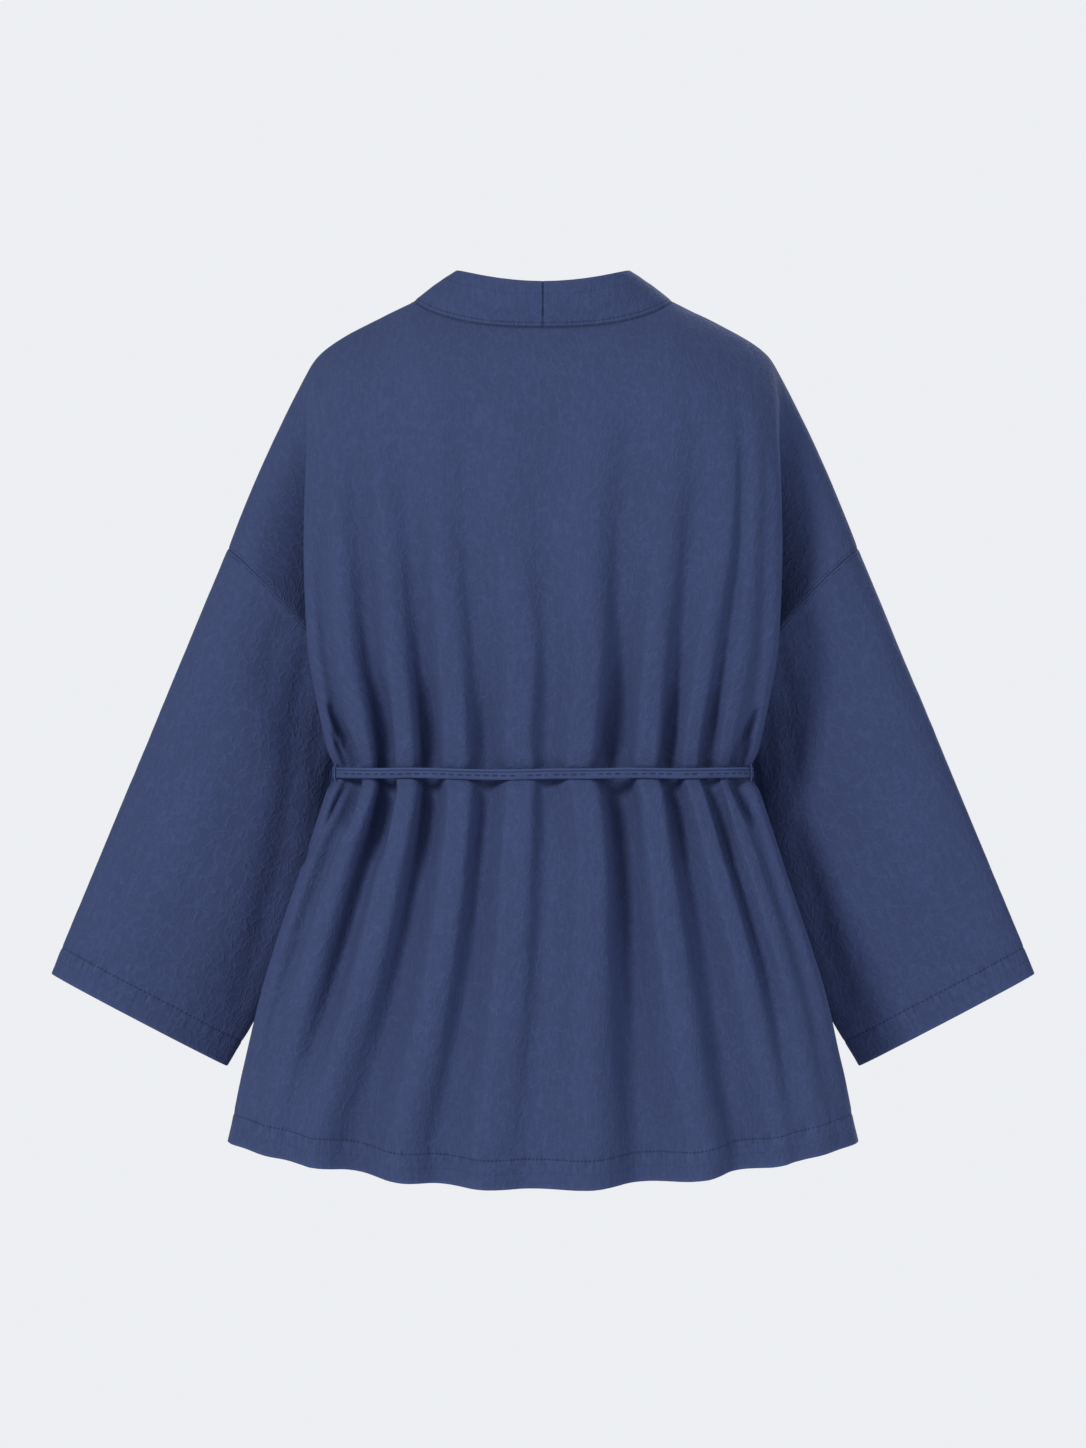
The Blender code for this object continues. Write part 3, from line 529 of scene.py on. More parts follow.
def settled(top, row, hem_x):
    """Real height of a row on a column that starts at top and ends on the hem at hem_x."""
    above = mix(top, UNDERARM, (row - NECK) / (UNDERARM - NECK))
    below = row + skirt_share(row) * (hem_height(hem_x) - HEM)
    return np.where(row >= UNDERARM, above, below)


def over_shoulder(x, z):
    """How far the cloth has come round from the shoulder's top: 0 on it, 1 below the rounding."""
    down = np.clip((ridge_line(x) - z) / ROUNDING, 0.0, 1.0)
    return np.sqrt(1.0 - (1.0 - down) ** 2)


def upper_share(row):
    return np.minimum((row - NECK) / (UNDERARM - NECK), 1.0)


def closing_share(row):
    """0 where the sleeve opens the side, 1 where side seams close it."""
    return smoothstep((SECTION_CLOSES - row) / SECTION_CLOSES_OVER)


def side_closing_share(row):
    return smoothstep((PANEL_CLOSES - row) / PANEL_CLOSES_OVER)


def arm_angle(row):
    """Where a row meets the armhole ring: 0 at the top of the arm, pi at the underarm."""
    return np.arccos(np.clip(1.0 - 2.0 * upper_share(row), -1.0, 1.0))


def arm_section(angle, top, under, depth, bow, flatter):
    """Points of an arm's section between its upper and lower edges, thinner at the lower one."""
    half = (top - under) / 2
    across = unit(vector(-half[..., 2], 0.0, half[..., 0]))
    round_y = depth * np.sin(angle) * (1.0 - flatter * (1.0 - np.cos(angle)) / 2)
    bowed = across * (bow * np.sin(angle) ** 2)[..., None]
    return (top + under) / 2 + half * np.cos(angle)[..., None] + bowed + vector(0.0, round_y, 0.0)


def armhole(angle):
    return arm_section(angle, ARM_TOP, ARM_UNDER, ARM_DEPTH, ARM_BOW, ARM_FLATTER)


def sleeve_point(angle, share):
    """Points of the sleeve, with the angle round it and the share along it as two grids."""
    angle, share = np.broadcast_arrays(angle, share)
    under = vector(*(read(SLEEVE_UNDER, "share", name, share) for name in ("x", "y", "z")))
    top = mix(ARM_TOP, CUFF_TOP, share[..., None])
    depth = mix(ARM_DEPTH, CUFF_DEPTH, smoothstep(share))
    flatter = mix(ARM_FLATTER, CUFF_FLATTER, smoothstep(share))
    return arm_section(angle, top, under, depth, ARM_BOW * (1.0 - share), flatter)


def closed_side(z, angle):
    """Points of the D that closes the section: 0 at the back's side fold, pi/2 at the centre front."""
    size = level(z)
    x = size.edge_x * np.cos(angle) ** (2 / FRONT_POWER)
    y = size.edge_y - (size.edge_y - size.front_y) * np.sin(angle) ** (2 / FRONT_POWER)
    return vector(x, y, z)


def pulled(points):
    """The points drawn in under the arm, where the side hangs inside the back's fold."""
    hang = smoothstep((points[..., 2] - HEM) / (UNDERARM - HEM))
    return points - vector(mix(SIDE_PULL_HEM, SIDE_PULL, hang), 0.0, 0.0)


def side_path(start, valley, end, share):
    """A bend from start to end that passes through the valley half way."""
    share = share[..., None]
    pull = valley * 2 - (start + end) / 2
    return start * (1 - share) ** 2 + pull * 2 * share * (1 - share) + end * share**2


def side_seam(row):
    """The panel's outer edge: the armhole down to the underarm, then the side seam."""
    upper = armhole(arm_angle(row))
    lower = pulled(closed_side(settled(0.0, row, SEAM_HEM_X), SEAM_ANGLE))
    return np.where((row >= UNDERARM)[..., None], upper, lower)


def front_side_seam(row):
    points = side_seam(row)
    middle = mix(ARM_TOP[1], ARM_UNDER[1], upper_share(row))
    points[..., 1] = np.where(row >= UNDERARM, 2 * middle - points[..., 1], points[..., 1])
    return points


def valley_y(row, above, at_underarm):
    tuck = smoothstep((upper_share(row) - VALLEY_TUCKS_FROM) / VALLEY_TUCKS_OVER)
    return mix(above, at_underarm, tuck)


def valley_share(row):
    return smoothstep(upper_share(row) / VALLEY_FORMED_BY)


# The back


def ridge_x(fold, height):
    """x of a ridge of the back, in order from the wearer's left side fold to the right one."""
    if fold in (0, RIDGE_COUNT - 1):
        return level(height).edge_x * (1 if fold == 0 else -1)
    return curve(RIDGE_HEIGHTS, RIDGES[fold - 1][: len(RIDGE_HEIGHTS)], height)


def column_x(fold, height):
    fold, height = np.broadcast_arrays(fold, height)
    ridges = np.stack([ridge_x(number, height) for number in range(RIDGE_COUNT)])
    low = np.clip(fold.astype(int), 0, RIDGE_COUNT - 2)
    left = np.take_along_axis(ridges, low[None], axis=0)[0]
    right = np.take_along_axis(ridges, low[None] + 1, axis=0)[0]
    return mix(left, right, fold - low)


def fold_wave(fold, z):
    """0 on a ridge, 1 at the bottom of a full valley: crisp near the belt, soft away from it."""
    low = np.clip(fold.astype(int), 0, RIDGE_COUNT - 2)
    valleys = np.array([LEFT_VALLEY] + [ridge.valley for ridge in RIDGES])
    share = fold - low
    soft = np.sin(math.pi * share**SOFT_LEAN) ** 2
    away = np.where(z > BELT, CRISP_ABOVE, CRISP_BELOW)
    crisp = np.exp(-(((z - BELT) / away) ** 2))
    outer = smoothstep((np.abs(fold - CENTRE_FOLD) - OUTER_FOLDS) / OUTER_FOLDS_OVER)
    left = 1.0 - RUNS_OUT_BY * outer * smoothstep((RUNS_OUT_BELOW - z) / RUNS_OUT_OVER)
    return left * valleys[low] * mix(soft, read(FOLD_PROFILE, "share", "sink", share), crisp)


def fold_sink(fold, z):
    """How far the cloth lies inside its ridges, on the back."""
    return settings().folds.depth * fold_wave(fold, z) * curve(RIDGE_HEIGHTS, VALLEY_DEPTHS, z)


def back_hull(place, z):
    """Depth of the back's ridges at a share of its half width."""
    size = level(z)
    rounded = np.maximum(1.0 - np.abs(place) ** BACK_POWER, 0.0) ** (1 / BACK_POWER)
    return size.edge_y + (size.back_y - size.edge_y) * rounded


def back_point(fold, row):
    fold, row = np.broadcast_arrays(np.asarray(fold, float), row)
    top_x = column_x(fold, np.full(fold.shape, NECK))
    hem_x = column_x(fold, np.full(fold.shape, RIDGE_HEIGHTS[-1]))
    z = settled(neckline(top_x), row, hem_x)
    z = z + HEM_VALLEY_RISE * fold_wave(fold, np.asarray(HEM)) * skirt_share(row)
    height = np.where(row > SKIRT, row, z)
    half = level(height).edge_x
    x = column_x(fold, height)
    place = x / half
    inner = np.clip(place, SLOPE_STEP - 1, 1 - SLOPE_STEP)
    rise = back_hull(inner + SLOPE_STEP, z) - back_hull(inner - SLOPE_STEP, z)
    outward = unit(vector(-rise / (2 * SLOPE_STEP * half), 1.0, 0.0))
    points = vector(x, back_hull(place, z), z) - outward * fold_sink(fold, z)[..., None]
    points[..., 1] *= over_shoulder(x, z)
    return points


def back_side_point(side, share, row):
    """The back beyond its side fold, to the armhole or the side seam. side is 1 or -1."""
    share, row = np.broadcast_arrays(share, row)
    start = back_point(0 if side > 0 else RIDGE_COUNT - 1, row)
    start[..., 0] = np.abs(start[..., 0])
    end = side_seam(row)
    ridge = (start + end) / 2 + SHOULDER_BULGE * (1 - upper_share(row))[..., None]
    depth = valley_y(row, SIDE_VALLEY_Y, SIDE_VALLEY_UNDER)
    valley = vector(start[..., 0] - SIDE_VALLEY_IN, depth, ridge[..., 2])
    valley = mix(ridge, valley, valley_share(row)[..., None])
    closed = pulled(closed_side(start[..., 2], SEAM_ANGLE / 2))
    valley = mix(valley, closed, side_closing_share(row)[..., None])
    points = side_path(start, valley, end, share)
    points[..., 0] *= side
    return points


# The fronts


def front_hull(x, z):
    """Depth of the fronts' ridges: a chest above the underarm, the D of the section below it."""
    size = level(z)
    edge_y = FRONT_EDGE_SHARE * size.front_y
    chest = np.maximum(1.0 - (np.abs(x) / FRONT_EDGE) ** BACK_POWER, 0.0) ** (1 / BACK_POWER)
    chest_y = edge_y + (size.front_y - edge_y) * chest
    closed = np.maximum(1.0 - (np.abs(x) / size.edge_x) ** FRONT_POWER, 0.0) ** (1 / FRONT_POWER)
    closed_y = size.edge_y + (size.front_y - size.edge_y) * closed
    return mix(chest_y, closed_y, closing_share(z)) * over_shoulder(x, z)


def lap_lift(x, over):
    """Outward shift of a front where it crosses the other: over is 1 for the one on top."""
    return (LAP / 2) * over * smoothstep((LAP_END - x) / (LAP_END - LAP_FULL))


def front_edge_x(row):
    """x of a front where its side part ends and its chest begins."""
    height = np.where(row > SKIRT, row, settled(0.0, row, FRONT_HEM_X))
    chest = mix(level(np.asarray(NECK)).edge_x, FRONT_EDGE, valley_share(row))
    return mix(chest, closed_side(height, FRONT_ANGLE)[..., 0], closing_share(row))


def front_sink(x, z):
    """How far the cloth lies inside its ridges, on both fronts alike, so that they wrap."""
    width = mix(FRONT_EDGE, closed_side(z, FRONT_ANGLE)[..., 0], closing_share(z))
    place = np.abs(x) / width * len(FRONT_VALLEYS)
    fold = np.clip(place.astype(int), 0, len(FRONT_VALLEYS) - 1)
    wave = ((1 - np.cos(math.tau * np.minimum(place - fold, 1.0))) / 2) ** FRONT_FOLD_SHARPNESS
    depth = np.array(FRONT_VALLEYS)[fold] * curve(RIDGE_HEIGHTS, FRONT_DEPTHS, z)
    return depth * wave * over_shoulder(x, z)


def front_face(x, z, over):
    """Depth of a front or its neckband, with its folds and its place in the wrap."""
    return front_hull(x, z) + front_sink(x, z) - lap_lift(x, over) * over_shoulder(x, z)


def front_point(over, share, row):
    """A front from its side fold (0) to its seam with the neckband (1), for the left side."""
    share, row = np.broadcast_arrays(share, row)
    top_x = mix(level(np.asarray(NECK)).edge_x, NECK_HALF, share)
    hem_x = mix(FRONT_HEM_X, FRONT_SEAM[-1].x, share)
    z = settled(ridge_line(top_x), row, hem_x)
    seam_x = read(FRONT_SEAM, "z", "x", settled(0.0, row, FRONT_SEAM[-1].x))
    x = mix(front_edge_x(row), seam_x, share)
    return vector(x, front_face(x, z, over), z)


def front_side_point(over, share, row):
    """A front beyond its side fold, to the armhole or the side seam, for the left side."""
    share, row = np.broadcast_arrays(share, row)
    start = front_point(over, np.zeros(row.shape), row)
    end = front_side_seam(row)
    ridge = (start + end) / 2 + SHOULDER_BULGE * (1 - upper_share(row))[..., None]
    depth = valley_y(row, FRONT_VALLEY_Y, FRONT_VALLEY_UNDER)
    valley = vector(start[..., 0] - FRONT_VALLEY_IN, depth, ridge[..., 2])
    valley = mix(ridge, valley, valley_share(row)[..., None])
    closed = pulled(closed_side(start[..., 2], (SEAM_ANGLE + FRONT_ANGLE) / 2))
    valley = mix(valley, closed, side_closing_share(row)[..., None])
    return side_path(start, valley, end, share)


# Grids of points


def spaced(count, start=0.0, end=1.0, crowd=1.0):
    """Places from start to end, crowded towards the end where crowd is above 1."""
    places = 1.0 - (1.0 - np.linspace(0.0, 1.0, count + 1)) ** crowd
    return mix(start, end, places)


def row_heights(bands):
    heights = [np.linspace(band.top, band.bottom, band.steps + 1)[1:] for band in bands]
    return np.concatenate([[bands[0].top], *heights])[:, None]


def normals_of(points, around=False):
    """The outward direction at each point of a grid, whose columns may run round a tube."""
    down = np.gradient(points, axis=0)
    if around:
        across = np.roll(points, -1, axis=1) - np.roll(points, 1, axis=1)
    else:
        across = np.gradient(points, axis=1)
    return unit(np.cross(down, across))


def lengths_along(points, axis):
    """Distance walked over the cloth along one axis of the grid, from its first line."""
    steps = np.linalg.norm(np.diff(points, axis=axis), axis=-1)
    start = np.zeros_like(np.take(steps, [0], axis=axis))
    return np.concatenate([start, np.cumsum(steps, axis=axis)], axis=axis)


def creased(across, up, creases):
    """Outward shift that the creases give at each place of a panel."""
    shift = np.zeros(np.broadcast(across, up).shape)
    for x0, z0, x1, z1, width, depth in creases:
        run = (x1 - x0) ** 2 + (z1 - z0) ** 2
        along = ((across - x0) * (x1 - x0) + (up - z0) * (z1 - z0)) / run
        near = np.clip(along, 0.0, 1.0)
        away = np.hypot(across - mix(x0, x1, near), up - mix(z0, z1, near))
        fade = np.sin(math.pi * np.clip(mix(0.12, 0.88, near), 0.0, 1.0)) ** 0.7
        shift -= depth * fade * np.exp(-((away / width) ** 2))
    return shift


def ripple(along, period, phase):
    """An uneven wave of about the given period, from -1 to 1."""
    waves = (
        np.sin(math.tau * along / period + phase)
        + 0.7 * np.sin(math.tau * along / (period * 1.62) + 2.1 * phase + 1.0)
        + 0.5 * np.sin(math.tau * along / (period * 0.71) + 0.6 * phase + 2.0)
    )
    return waves / 2.2


def handled(across, up, phase):
    """The slight waviness of worn, washed cloth."""
    slow = ripple(across + 0.3 * up, 0.046, phase) * ripple(up - 0.4 * across, 0.150, phase + 1.3)
    quick = ripple(across - 0.5 * up, 0.021, phase + 0.7) * ripple(up + 0.2 * across, 0.060, phase + 2.9)
    return SLOW_WAVES * slow + QUICK_WAVES * quick


def hemmed(from_edge, along, depth, phase):
    """The turned hem: a groove at its stitching, and small puckers that the stitching draws."""
    groove = -HEM_GROOVE * np.exp(-(((from_edge - depth) / HEM_GROOVE_WIDTH) ** 2))
    draw = np.exp(-(((from_edge - depth * 0.75) / (depth * 0.45)) ** 2))
    fade = smoothstep((depth * 1.8 - from_edge) / (depth * 0.6))
    return groove + HEM_PUCKER * draw * fade * ripple(along, HEM_PUCKER_PERIOD, phase)


def turned(points, rows, gap):
    """Extra rows that turn the cloth inwards at the grid's lower edge and lay it back."""
    normals = normals_of(points)
    normals[-1] = normals[-2]
    down = unit(points[-1] - points[-2])
    middle = points[-1] - normals[-1] * gap / 2
    roll = []
    for angle in (45, 90, 135):
        turn = math.radians(angle)
        roll.append(middle + (normals[-1] * math.cos(turn) + down * math.sin(turn)) * gap / 2)
    back = (points - normals * gap)[-1 : -rows - 1 : -1]
    return np.concatenate([points, np.stack(roll), back], axis=0)


def turned_values(values, rows):
    """The same extra rows for a number that each point carries."""
    edge = values[-1:]
    return np.concatenate([values, edge, edge, edge, values[-1 : -rows - 1 : -1]], axis=0)


def cloth_piece(name, points, maps, thickness, around=False, flat=None, held="hung", area=None):
    """A grid of points with its UV maps as a piece of the scene, a shell where it has a thickness."""
    rows, columns = points.shape[:2]
    if around:
        points = np.concatenate([points, points[:, :1]], axis=1)
        columns += 1
    shape = bmesh.new()
    bmesh.ops.create_grid(shape, x_segments=columns - 1, y_segments=rows - 1, size=1.0)
    mesh = bpy.data.meshes.new(name)
    shape.to_mesh(mesh)
    shape.free()
    flat_places = np.empty(len(mesh.vertices) * 3)
    mesh.vertices.foreach_get("co", flat_places)
    flat_places = flat_places.reshape(-1, 3)
    column = np.rint((flat_places[:, 0] + 1) / 2 * (columns - 1)).astype(int)
    row = np.rint((1 - flat_places[:, 1]) / 2 * (rows - 1)).astype(int)
    mesh.vertices.foreach_set("co", points[row, column].astype(np.float32).ravel())
    corners = np.empty(len(mesh.loops), dtype=int)
    mesh.loops.foreach_get("vertex_index", corners)
    for label, (across, up) in maps.items():
        grid = np.stack(np.broadcast_arrays(across, up), axis=-1)
        layer = mesh.uv_layers.new(name=label)
        layer.uv.foreach_set("vector", grid[row[corners], column[corners]].astype(np.float32).ravel())
    if around:
        merge_seam(mesh)
    mesh.update()
    mesh.shade_smooth()
    piece = bpy.data.objects.new(name, mesh)
    bpy.context.scene.collection.objects.link(piece)
    if thickness:
        wall = piece.modifiers.new("cloth thickness", "SOLIDIFY")
        wall.thickness = thickness
        wall.offset = -1.0
    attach(piece, "root")
    return piece


def merge_seam(mesh, ends=False):
    """Joins the edges of a grid that meet. With ends, it closes a tube's ends too."""
    shape = bmesh.new()
    shape.from_mesh(mesh)
    bmesh.ops.remove_doubles(shape, verts=shape.verts, dist=1e-6)
    if ends:
        rims = [edge for edge in shape.edges if edge.is_boundary]
        if rims:
            bmesh.ops.holes_fill(shape, edges=rims, sides=0)
        bmesh.ops.recalc_face_normals(shape, faces=shape.faces)
    shape.to_mesh(mesh)
    shape.free()
    mesh.shade_smooth()


def cloth_name(node):
    return node.replace("_", " ") + " cloth"


def dressed(piece, node, material):
    """Gives a piece its finish and puts it in the place of its CAD node."""
    piece.data.materials.append(material)
    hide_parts(node)


# Shader maths: numbers on a material's surface that Python's operators work on


class Number:
    """A socket that carries a number, and adds a Math node for each sum it is used in."""

    def __init__(self, finish, socket):
        self.finish = finish
        self.socket = socket

    def __add__(self, other):
        return self.finish.maths("ADD", self, other)

    def __sub__(self, other):
        return self.finish.maths("SUBTRACT", self, other)

    def __rsub__(self, other):
        return self.finish.maths("SUBTRACT", other, self)

    def __mul__(self, other):
        return self.finish.maths("MULTIPLY", self, other)

    def __truediv__(self, other):
        return self.finish.maths("DIVIDE", self, other)

    def __abs__(self):
        return self.finish.maths("ABSOLUTE", self)


class Finish:
    """A material whose Principled shader is fed by the numbers and colours made here."""

    def __init__(self, name):
        self.material = bpy.data.materials.new(name)
        self.material.use_nodes = True
        self.tree = self.material.node_tree
        self.shader = self.tree.nodes["Principled BSDF"]

    def node(self, kind, values=None, output=0, **choices):
        """Adds a node, sets its choices, then its sockets' values or links, and gives one output."""
        node = self.tree.nodes.new(kind)
        for label, choice in choices.items():
            setattr(node, label, choice)
        for label, value in (values or {}).items():
            self.feed(node.inputs[label], value)
        return Number(self, node.outputs[output])

    def feed(self, socket, value):
        if isinstance(value, Number):
            self.tree.links.new(value.socket, socket)
        else:
            socket.default_value = value

    def maths(self, operation, *values):
        return self.node("ShaderNodeMath", dict(enumerate(values)), operation=operation)

    def set(self, **values):
        for label, value in values.items():
            self.feed(self.shader.inputs[label.replace("_", " ")], value)

    def map_parts(self, label):
        """The two numbers of a UV map."""
        place = self.node("ShaderNodeUVMap", uv_map=label)
        across = self.node("ShaderNodeSeparateXYZ", {"Vector": place}, output="X")
        return across, Number(self, across.socket.node.outputs["Y"])

    def place(self, across, up):
        return self.node("ShaderNodeCombineXYZ", {"X": across, "Y": up, "Z": 0.0})

    def noise(self, across, up, detail=2.0):
        """Noise from 0 to 1 with features one unit across."""
        values = {"Vector": self.place(across, up), "Scale": 1.0, "Detail": detail}
        return self.node("ShaderNodeTexNoise", values, noise_dimensions="2D", output="Fac")

    def ramp(self, value, start, end):
        """0 below start, 1 above end, smooth between. end may be below start."""
        low, high, to_low, to_high = (start, end, 0.0, 1.0) if start < end else (end, start, 1.0, 0.0)
        values = {"Value": value, "From Min": low, "From Max": high, "To Min": to_low, "To Max": to_high}
        return self.node("ShaderNodeMapRange", values, interpolation_type="SMOOTHSTEP")

    def blend(self, share, colour, other):
        """One colour passing into another."""
        return self.node("ShaderNodeMix", {0: share, 6: colour, 7: other}, output=2, data_type="RGBA")


def shade(colour, factor):
    return tuple(min(part * factor, 1.0) for part in colour[:3]) + (1.0,)


def stitch_mask(finish, away, along, spread, pitch):
    """A line of stitches: 1 on each stitch, fading over its spread."""
    line = finish.ramp(abs(away), spread, spread * 0.25)
    beat = finish.maths("SINE", along * (math.tau / pitch))
    return line * finish.ramp(beat, -0.7, 0.1)


def weave(finish, across, up, thread):
    """Long threads and short grains of the woven cloth."""
    threads = finish.noise(across / thread, up / (thread * 22.0), detail=3.0)
    grain = finish.noise(across / (thread * 0.9), up / (thread * 1.6), detail=2.0)
    return threads, grain


def cloth_finish(name, hem, seams):
    """Washed blue cotton: fine upright weave, pale curled wrinkles, soft mottling and sewing, whose sunk
    stitches and seams carry painted shade and whose hem puckers carry painted light and shade.

    hem is the depth of the turned edge that the cloth map's height is measured from. seams
    holds a letter for each edge of the seam map that is sewn: x for its first number, y for
    its second."""
    look = settings().cloth
    sewing = settings().sewing
    finish = Finish(name)
    across, up = finish.map_parts("cloth")
    threads, grain = weave(finish, across, up, look.thread)
    mottle = finish.noise(across / 0.050, up / 0.090, detail=3.0)
    veins = wrinkle_veins(finish, across, up, look.vein)

    depth = (threads - 0.5) * 0.20 + (grain - 0.5) * 0.20 + (mottle - 0.5) * 0.10 + (veins - 0.3) * 0.085
    height = (threads - 0.5) * 0.6 + (grain - 0.5) * 0.6 + veins * 2.4

    # The hem: a line of stitches, the turned edge's own line and the puckers between them.
    # The stitches are darkened as painted shade where they sink in, and the puckers are lightened
    # and darkened with their relief as painted light and shade.
    wander = (finish.noise(across / 0.030, 0.5, detail=1.0) - 0.5) * 0.0008
    stitches = stitch_mask(finish, up - hem + wander, across, 0.0010, sewing.pitch)
    second = stitch_mask(finish, up - hem * 0.5 + wander, across, 0.0012, sewing.pitch * 1.7)
    edge = finish.ramp(up, 0.0028, 0.0004)
    pucker = finish.ramp(abs(up - hem * 0.9), hem * 0.55, hem * 0.05)
    wave = (finish.noise(across / 0.0030, up / 0.016, detail=1.0) - 0.5) * pucker
    depth = depth - stitches * 0.34 - second * 0.07 + edge * 0.08 + wave * 0.34
    height = height - stitches * 3.6 - second * 1.2 + wave * 4.2

    # The seams: stitches, the dark edge and the pale crest between them. The stitches and
    # the edge are darkened as painted shade where they sink into the seam.
    side, top = finish.map_parts("seam")
    for away, along in [(side, up)] * ("x" in seams) + [(top, across)] * ("y" in seams):
        stitches = stitch_mask(finish, away - sewing.inset, along, 0.0009, sewing.pitch)
        edge = finish.ramp(away, 0.0013, 0.0002)
        crest = finish.ramp(abs(away - sewing.inset * 0.45), 0.0010, 0.0002)
        depth = depth - stitches * 0.22 - edge * 0.34 + crest * 0.07
        height = height - stitches * 2.2 - edge * 1.6
    finish_cloth(finish, shade(look.colour, 1.0), depth, height, look)
    return finish.material


def wrinkle_lines(finish, across, up, size, width):
    """Curled lines round upright cells of one size."""
    bend_x = (finish.noise(across / size, up / size, detail=1.0) - 0.5) * 1.3
    bend_y = (finish.noise(across / size + 7.3, up / size + 3.1, detail=1.0) - 0.5) * 1.3
    place = finish.place(across / size + bend_x, up / (size * 2.1) + bend_y)
    values = {"Vector": place, "Scale": 1.0}
    choices = {"voronoi_dimensions": "2D", "feature": "DISTANCE_TO_EDGE"}
    cells = finish.node("ShaderNodeTexVoronoi", values, output="Distance", **choices)
    return finish.ramp(cells, width / size, 0.0)


def wrinkle_veins(finish, across, up, size):
    """Fine curled wrinkles, as washed cotton keeps, in two sizes and broken up over the cloth."""
    patches = finish.noise(across / (size * 1.2) + 4.0, up / (size * 1.6), detail=1.0)
    wide = wrinkle_lines(finish, across - up * 0.10, up, size, 0.0019) * finish.ramp(patches, 0.30, 0.50)
    slanted = across + up * 0.25 + 0.37
    small = wrinkle_lines(finish, slanted, up, size * 0.66, 0.0015) * finish.ramp(patches, 0.66, 0.44)
    return wide + small * 0.8


def finish_cloth(finish, colour, depth, height, look):
    """Feeds the shader: depth lightens and darkens the colour, height lifts the surface; depth also carries
    the painted shade and painted highlights of the sewing.
    """
    bright = finish.blend(finish.ramp(depth, -0.5, 0.5), shade(colour, 0.52), shade(colour, 1.50))
    bump = finish.node(
        "ShaderNodeBump", {"Strength": look.relief, "Distance": 0.00022, "Height": height}, output="Normal"
    )
    finish.set(
        Base_Color=bright,
        Roughness=0.90 - depth * 0.12,
        Normal=bump,
        Sheen_Weight=look.sheen,
        Sheen_Roughness=0.5,
        Sheen_Tint=(0.30, 0.42, 1.0, 1.0),
        Specular_IOR_Level=0.25,
    )


# The panels


def from_sides(across):
    """Distance to the nearer of a panel's two side edges."""
    return np.minimum(across, across[:, -1:] - across)


def panel_maps(points):
    """The cloth map, measured across and up from the hem, and the seam map, measured from the
    panel's side edges and from its upper edge."""
    down = lengths_along(points, 0)
    across = lengths_along(points, 1)
    middle = points.shape[1] // 2
    centred = across - across[:, middle : middle + 1]
    cloth = (turned_values(centred, HEM_ROWS), turned_values(down[-1] - down, HEM_ROWS))
    seam = (turned_values(from_sides(across), HEM_ROWS), turned_values(down, HEM_ROWS))
    return {"cloth": cloth, "seam": seam}


def back_grid():
    rows = row_heights(PANEL_ROWS)
    sides = spaced(BACK_SIDE_STEPS, crowd=SIDE_CROWD)[1:]
    folds = [low + share for low in range(RIDGE_COUNT - 1) for share in FOLD_COLUMNS]
    middle = back_point(np.array(folds + [RIDGE_COUNT - 1])[None], rows)
    left = back_side_point(1, sides[None, ::-1], rows)
    right = back_side_point(-1, sides[None], rows)
    return np.concatenate([left, middle, right], axis=1)


def sewn_edges(*edges):
    """The dip of the cloth into its seams, from the distance to each."""
    return -SEAM_DIP * sum(np.exp(-((away / SEAM_DIP_WIDTH) ** 2)) for away in edges)


def calm_at(*edges):
    """0 on a seam, 1 away from it, so that two sewn pieces keep the same line."""
    free = 1.0
    for away in edges:
        free = free * (1.0 - np.exp(-((away / SEAM_CALM) ** 2)))
    return free


def allowance(top):
    """How far an upper edge reaches past its seam, under the other piece."""
    return SEAM_REACH * np.exp(-((top / (2 * SEAM_REACH)) ** 2))


def make_panel(node, points, worn, pucker_phase, reach, **sheet):
    """Sews and hems a panel's grid and puts it in the place of its node.

    worn is the shift of its creases and waves. reach is 1 or -1: the way, along y, in which
    its upper edge passes under the other panel."""
    look = settings().folds
    across, down = lengths_along(points, 1), lengths_along(points, 0)
    side = from_sides(across)
    shift = worn * calm_at(side, down) + hemmed(down[-1] - down, across[-1], look.hem, pucker_phase)
    shift = shift + sewn_edges(side, down)
    points = points + normals_of(points) * shift[..., None]
    points[..., 1] += reach * allowance(down)
    maps = panel_maps(points)
    points = turned(points, HEM_ROWS, look.turn)
    piece = cloth_piece(node + "_cloth", points, maps, look.wall, **sheet)
    dressed(piece, node, cloth_finish(cloth_name(node), look.hem, "xy"))


def make_back():
    look = settings().folds
    points = back_grid()
    x, z = points[..., 0], points[..., 2]
    worn = look.creases * creased(x, z, BACK_CREASES) + look.handling * handled(x, z, 0.4)
    make_panel("back", points, worn, 0.7, -1, flat=(0.76, 0.80), held="gathered", area=0.57)


def make_front(name, side, over, phase):
    look = settings().folds
    rows = row_heights(PANEL_ROWS)
    sides = spaced(FRONT_SIDE_STEPS, crowd=SIDE_CROWD)[1:]
    chest = spaced(FRONT_STEPS, crowd=FRONT_CROWD)
    edge = front_side_point(over, sides[None, ::-1], rows)
    points = np.concatenate([edge, front_point(over, chest[None], rows)], axis=1)
    points[..., 0] *= side
    if side > 0:
        points = points[:, ::-1]
    x, z = np.abs(points[..., 0]), points[..., 2]
    # The part that lies under the other front keeps to the plain wrap.
    free = smoothstep((x - UNDER_WRAP) / UNDER_WRAP_OVER)
    worn = look.creases * creased(x, z, FRONT_CREASES) * free + look.handling * handled(x, z, phase)
    make_panel(name, points, worn, phase, 1, flat=(0.38, 0.80), area=0.27)


def sleeve_rows():
    top = spaced(SLEEVE_TOP_ROWS, SLEEVE_EVEN_FROM, 0.0, SLEEVE_TOP_CROWD)[::-1][:-1]
    even = np.linspace(SLEEVE_EVEN_FROM, SLEEVE_HEM_FROM, SLEEVE_EVEN_ROWS)
    hem = spaced(SLEEVE_HEM_ROWS, SLEEVE_HEM_FROM, 1.0)[1:]
    return np.concatenate([top, even, hem])[:, None]


